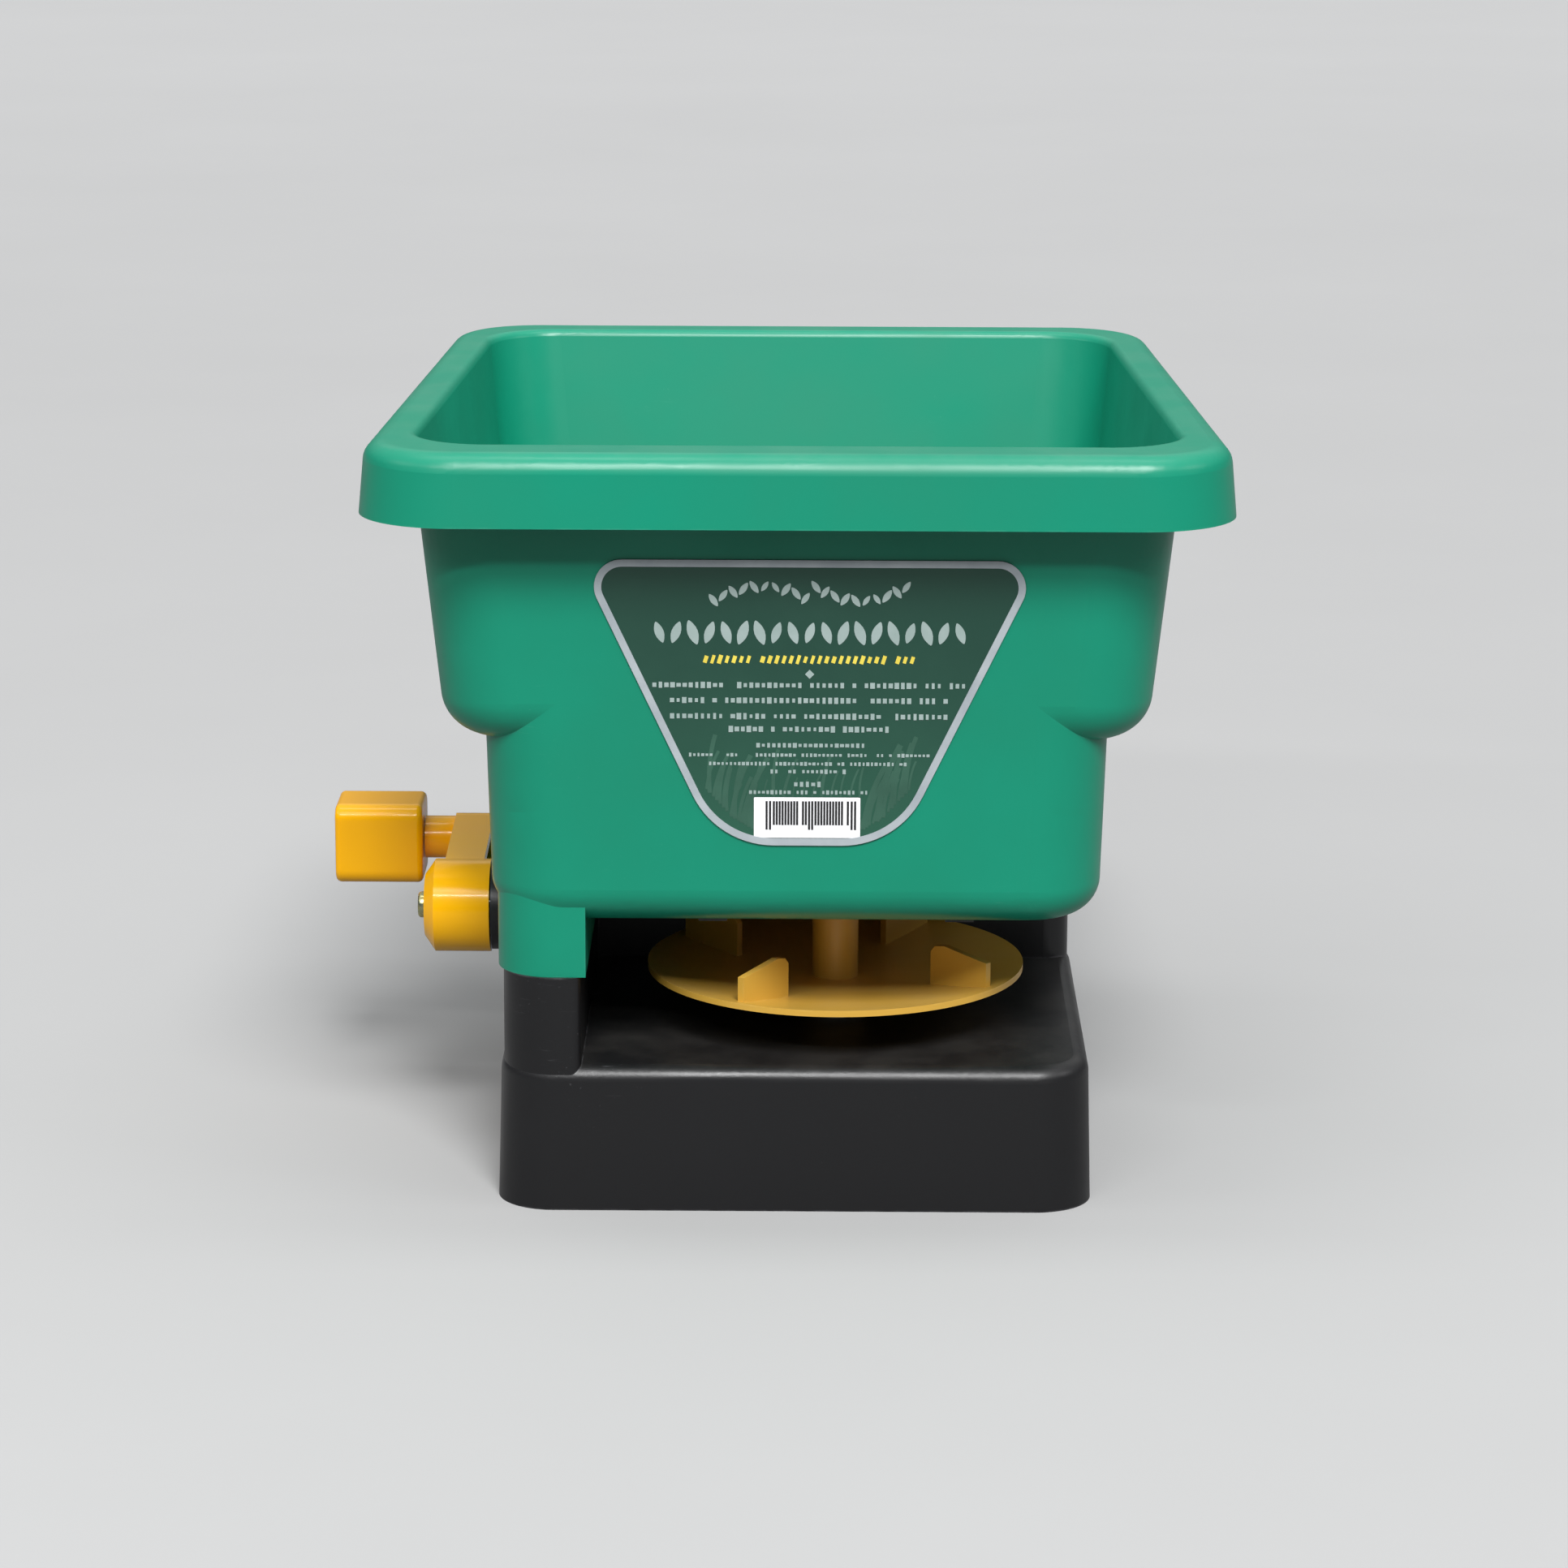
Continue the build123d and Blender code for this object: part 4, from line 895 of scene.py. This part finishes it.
    def _grass(self) -> Thing:
        """Prints the grass that stands along the label's foot.

        Returns:
            The piece.
        """
        plan = ((-26.0, 128.6, -19.0, 121.0, 8, 17.0, 5), (-18.6, 120.4, -12.6, 116.8, 7, 24.0, 6),
                (19.4, 116.8, 25.4, 120.4, 7, 24.0, 7), (25.8, 121.0, 32.8, 128.6, 8, 17.0, 8),
                (-12.0, 126.5, 18.5, 126.5, 12, 14.0, 9))
        meshes = [self.grower.grow(
            self.grower.tuft, Start=self._at(x0, z0, 1), End=self._at(x1, z1, 1), Count=count,
            Height=tall * MM, Width=0.075, Thickness=self.layer * MM, Lean=0.16, Seed=seed,
            Material=self.palette["label_grass_ink"]) for x0, z0, x1, z1, count, tall, seed in plan]
        return self._print("label_grass", meshes, "label_grass_ink")

    def _bar_block(self) -> list[Thing]:
        """Prints the white block with plain upright bars.

        Returns:
            The two pieces.
        """
        plate = rounded_outline(self.block, (0.3,) * 4, 0.0, 3)
        back, face = (self.face_y - self.layer * layers for layers in (2.2, 3.4))
        white = closed_mesh(lambda work: prism(
            work, [(x, face, z) for x, z in plate], [(x, back, z) for x, z in plate]))
        short, long = (121.6, 7.2), (120.9, 8.6)
        plan = ((-6.4, 2.9, short, 12, 0.98, 0.9, 21), (5.7, 15.1, short, 12, 0.98, 0.9, 22),
                (-8.5, -7.5, long, 2, 0.99, 1.0, 2), (3.85, 4.75, long, 2, 0.99, 1.0, 2),
                (16.2, 17.2, long, 2, 0.99, 1.0, 2))
        meshes = [self._tiles(metres(x0, face - 0.02, z), metres(x1, face - 0.02, z), count, (0.62, high),
                              "label_black", Least=least, Kept=kept, Seed=seed)
                  for x0, x1, (z, high), count, least, kept, seed in plan]
        return [self._print("label_white_block", [white], "label_white"),
                self._print("label_bars", meshes, "label_black")]

    def build(self) -> list[Thing]:
        """Builds all print pieces."""
        return [self._border(), self._grass(), self._small_print(), self._garland(), self._accent(),
                *self._bar_block()]


@dataclass
class GripDetails(Assembly):
    """Raised ribs and pips that give the hand a hold on the grip."""

    rear_foot: Point = (183.0, 8.0)
    rear_top: Point = (163.0, 131.0)
    front_foot: Point = (148.0, 8.0)
    front_top: Point = (131.0, 79.2)
    rib: Point = (15.0, 1.15)
    proud: float = 0.55
    half_width: float = 15.0
    pip: Point = (0.4, 0.95)
    pip_rows: int = 5
    pip_pitch: float = 4.2

    @staticmethod
    def _on(foot: Point, top: Point, z: float, sink: float) -> tuple[float, ...]:
        """Gives a point on a sloping side of the grip, in metres, sunk along Y by a depth in mm."""
        share = (z - foot[1]) / (top[1] - foot[1])
        return metres(0.0, foot[0] + (top[0] - foot[0]) * share + sink, z)

    @staticmethod
    def _straight(start: Sequence[float], end: Sequence[float]) -> tuple[Sequence[float], ...]:
        """Gives the start, middle and end of a straight path."""
        return start, tuple((a + b) / 2 for a, b in zip(start, end)), end

    def build(self) -> list[Thing]:
        """Builds the ribs and pips.

        Returns:
            The one piece they make.
        """
        sink = self.rib[1] - self.proud
        meshes = []
        sides = ((self.rear_foot, self.rear_top, 44.0, 98.0, 13, -sink),
                 (self.front_foot, self.front_top, 20.0, 66.0, 11, sink))
        for foot, top, low, high, count, back in sides:
            path = self._straight(self._on(foot, top, low, back), self._on(foot, top, high, back))
            meshes.append(self.ribs(path, count, self.rib, ACROSS, "soft_rubber"))
        for side in (-1.0, 1.0):
            for row in range(self.pip_rows):
                start = metres(side * (self.half_width - 0.35), 154.5 + self.pip_pitch * row, 32.0)
                path = self._straight(start, (start[0], start[1] - 4.6 * MM, 58.0 * MM))
                meshes.append(self.ribs(path, 8, self.pip, (0.0, 0.0, 0.0), "soft_rubber"))
        return [self.lay("grip_ribs", meshes, "soft_rubber", "frame", "rubber")]


@dataclass
class TriggerDetails(Assembly):
    """Cross ribs on the trigger's finger side."""

    path: tuple[Spot, Spot, Spot] = ((0.0, 103.3, 44.0), (0.0, 101.7, 55.0), (0.0, 103.0, 71.0))
    count: int = 8
    size: Point = (8.6, 1.0)

    def build(self) -> list[Thing]:
        """Builds the ribs."""
        mesh = self.ribs([metres(*spot) for spot in self.path], self.count, self.size, ACROSS, "yellow_gloss_abs")
        return [self.lay("trigger_ribs", [mesh], "yellow_gloss_abs", "trigger", "yellow_gloss")]


@dataclass
class DialDetails(Assembly):
    """The dial's numbers, finger bar and the pointer beside it."""

    axis: Point = (97.0, 110.0)
    face_x: float = 22.4
    ring: float = 10.6
    steps: int = 6
    sweep_deg: float = 270.0
    height: float = 4.0
    depth: float = 0.09
    bar_size: Point = (9.0, 2.1)
    side_x: float = 15.12
    tips: tuple[Point, ...] = ((113.0, 110.0), (117.2, 107.6), (117.2, 112.4))

    def _number(self, text: str, angle: float) -> Mesh:
        """Makes one raised number standing on the dial's face.

        Args:
            text: The number.
            angle: Its angle around the dial, in radians.

        Returns:
            Its plain mesh, in place.
        """
        curve = bpy.data.curves.new("number", "FONT")
        curve.body, curve.size, curve.extrude = text, self.height * MM, self.depth * MM
        curve.align_x = curve.align_y = "CENTER"
        writing = bpy.data.objects.new("number", curve)
        bpy.context.scene.collection.objects.link(writing)
        graph = bpy.context.evaluated_depsgraph_get()
        mesh = bpy.data.meshes.new_from_object(writing.evaluated_get(graph))
        bpy.data.objects.remove(writing)
        stand = Matrix(((0, 0, 1, 0), (1, 0, 0, 0), (0, 1, 0, self.ring * MM), (0, 0, 0, 1)))
        centre = Matrix.Translation(metres(self.face_x + 0.05, *self.axis))
        mesh.transform(centre @ Matrix.Rotation(angle, 4, "X") @ stand)
        return mesh

    def build(self) -> list[Thing]:
        """Builds the numbers, the finger bar and the pointer.

        Returns:
            The pieces.
        """
        step = math.radians(self.sweep_deg) / (self.steps - 1)
        numbers = [self._number(str(k + 1), -math.pi / 2 - k * step) for k in range(self.steps)]
        spot = metres(self.face_x - 0.4, *self.axis)
        bar = self.ribs((spot, spot, spot), 1, self.bar_size, ALONG, "yellow_gloss_abs")
        mark = closed_mesh(lambda work: prism(
            work, [(self.side_x, *tip) for tip in self.tips], [(self.side_x - 0.22, *tip) for tip in self.tips]))
        return [self.lay("dial_numbers", numbers, "label_black", "dial", "yellow_gloss"),
                self.lay("dial_bar", [bar], "yellow_gloss_abs", "dial", "yellow_gloss"),
                self.lay("dial_pointer", [mark], "dial_white_ink", "frame", "black_plastic")]


@dataclass
class TroughDetails(Assembly):
    """Soft ribs along the forearm trough's liner."""

    radius: float = 39.8
    centre_z: float = 66.0
    middle_y: float = 258.5
    reach_deg: float = 34.0
    count: int = 9
    size: Point = (74.0, 1.1)

    def build(self) -> list[Thing]:
        """Builds the ribs.

        Returns:
            The one piece they make.
        """
        reach = math.radians(self.reach_deg)
        side_x, side_z = self.radius * math.sin(reach), self.centre_z - self.radius * math.cos(reach)
        low_z = self.centre_z - self.radius / math.cos(reach) + 0.8
        path = ((-side_x, self.middle_y, side_z), (0.0, self.middle_y, low_z), (side_x, self.middle_y, side_z))
        mesh = self.ribs([metres(*spot) for spot in path], self.count, self.size, ALONG, "soft_rubber")
        return [self.lay("trough_ribs", [mesh], "soft_rubber", "frame", "rubber")]


@dataclass(frozen=True)
class SoftBox:
    """A rectangular light: its place and target in metres, its sides and its power in watts."""

    name: str
    place: Spot
    target: Spot
    wide: float
    high: float
    power: float


@dataclass
class Studio:
    """Floor, soft lights and the camera."""

    focal_mm: float = 116.46
    sensor_mm: float = 36.0
    eye: Spot = (5.2, -1505.0, 479.3)
    pitch_deg: float = 13.72
    yaw_deg: float = 0.348
    roll_deg: float = 0.22
    floor_half: float = 60.0
    near_grey: float = 0.375
    far_grey: float = 0.485
    backdrop: float = 0.62
    key_power: float = 3.3
    key_angle_deg: float = 20.0
    key_from: Spot = (0.2, -1.0, 1.2)
    boxes: tuple[SoftBox, ...] = (
        SoftBox("front_strip", (-0.35, -1.5, 1.25), (-0.1, 0.0, 0.1), 1.5, 0.08, 13.0),
        SoftBox("overhead_softbox", (0.0, 0.05, 1.9), (0.0, 0.0, 0.0), 1.6, 0.3, 7.0),
        SoftBox("right_softbox", (1.7, -0.5, 1.25), (0.0, 0.0, 0.2), 0.9, 0.5, 5.0),
        SoftBox("left_softbox", (-1.7, -0.5, 1.25), (0.0, 0.0, 0.2), 0.9, 0.5, 4.0),
        SoftBox("back_softbox", (0.2, 2.4, 1.6), (0.0, 0.0, 0.2), 2.6, 0.8, 2.0))

    def floor(self) -> None:
        """Lays the pale plain floor, a little paler far away and darker to the light that it throws back."""
        half = self.floor_half
        corners = ((-half, -half), (half, -half), (half, half), (-half, half))
        mesh = closed_mesh(lambda work: work.faces.new([work.verts.new((x, y, 0.0)) for x, y in corners]))
        material = bpy.data.materials.new("pale_floor")
        material.use_nodes = True
        desk = NodeDesk(material.node_tree)
        place = desk.add("ShaderNodeTexCoord").outputs["Object"]
        cloud = desk.spread(desk.noise(place, 3.0, 5.0, 0.6), 0.3, 0.7, 0.0, 0.1)
        far = desk.spread(desk.split(place)["Y"], 0.6, 3.4, 0.0, 0.9)
        pale = desk.mix(desk.maths("ADD", far, cloud), (self.near_grey,) * 3, (self.far_grey,) * 3)
        thrown = desk.maths("SUBTRACT", 1.0, desk.add("ShaderNodeLightPath").outputs["Is Camera Ray"])
        shader = desk.add("ShaderNodeBsdfPrincipled", {
            "Base Color": desk.mix(desk.times(thrown, 0.5), pale, (0.03,) * 3), "Roughness": 0.9,
            "Specular IOR Level": 0.1})
        desk.add("ShaderNodeOutputMaterial", {"Surface": shader.outputs[0]})
        mesh.materials.append(material)
        sheet = bpy.data.objects.new("floor", mesh)
        bpy.context.scene.collection.objects.link(sheet)

    def lights(self) -> None:
        """Hangs the lights and sets the surrounding air, brighter overhead."""
        key = bpy.data.lights.new("key_light", "SUN")
        key.energy, key.angle = self.key_power, math.radians(self.key_angle_deg)
        self._hang(key, self.key_from, (0.0, 0.0, 0.0))
        for box in self.boxes:
            light = bpy.data.lights.new(box.name, "AREA")
            light.shape, light.size, light.size_y, light.energy = "RECTANGLE", box.wide, box.high, box.power
            self._hang(light, box.place, box.target)
        world = bpy.data.worlds.new("studio_air")
        world.use_nodes = True
        desk = NodeDesk(world.node_tree)
        up = desk.split(desk.add("ShaderNodeTexCoord").outputs["Generated"])["Z"]
        seen = desk.add("ShaderNodeLightPath").outputs["Is Camera Ray"]
        power = desk.mix(seen, desk.spread(up, 0.15, 0.95, 0.12, 0.8), (self.backdrop,) * 3)
        air = desk.add("ShaderNodeBackground", {0: (0.96, 0.98, 1.0, 1.0), 1: power})
        desk.add("ShaderNodeOutputWorld", {"Surface": air.outputs[0]})
        bpy.context.scene.world = world

    @staticmethod
    def _hang(light: bpy.types.Light, place: Spot, target: Spot) -> None:
        """Places a light and aims it.

        Args:
            light: The light.
            place: Where it hangs.
            target: What it looks at.
        """
        lamp = bpy.data.objects.new(light.name, light)
        lamp.location = place
        lamp.rotation_euler = (Vector(target) - Vector(place)).to_track_quat("-Z", "Y").to_euler()
        bpy.context.scene.collection.objects.link(lamp)

    def camera(self) -> None:
        """Sets the camera in front of and above the spreader."""
        lens = bpy.data.cameras.new("camera")
        lens.lens, lens.sensor_width, lens.clip_end = self.focal_mm, self.sensor_mm, 60.0
        eye = bpy.data.objects.new("camera", lens)
        turn = (Matrix.Rotation(math.radians(self.yaw_deg), 4, "Z")
                @ Matrix.Rotation(math.radians(90 - self.pitch_deg), 4, "X")
                @ Matrix.Rotation(math.radians(self.roll_deg), 4, "Z"))
        eye.matrix_world = Matrix.Translation(metres(*self.eye)) @ turn
        bpy.context.scene.collection.objects.link(eye)
        bpy.context.scene.camera = eye


def main() -> None:
    """Dresses the frame, adds the pieces and sets the studio."""
    logging.basicConfig(level=logging.INFO, format="%(name)s: %(message)s")
    palette, grower = Palette(), Grower()
    LOG.info("dressed %d CAD nodes", DressedNodes().dress(palette))
    for kind in (PrintedLabel, GripDetails, TriggerDetails, DialDetails, TroughDetails):
        for piece in kind(palette, grower).build():
            LOG.info("%s: %s, %d faces", kind.__name__, piece.name, len(piece.data.polygons))
    studio = Studio()
    studio.floor()
    studio.lights()
    studio.camera()
    bpy.context.scene.view_settings.view_transform = "Standard"


if __name__ == "__main__":
    main()
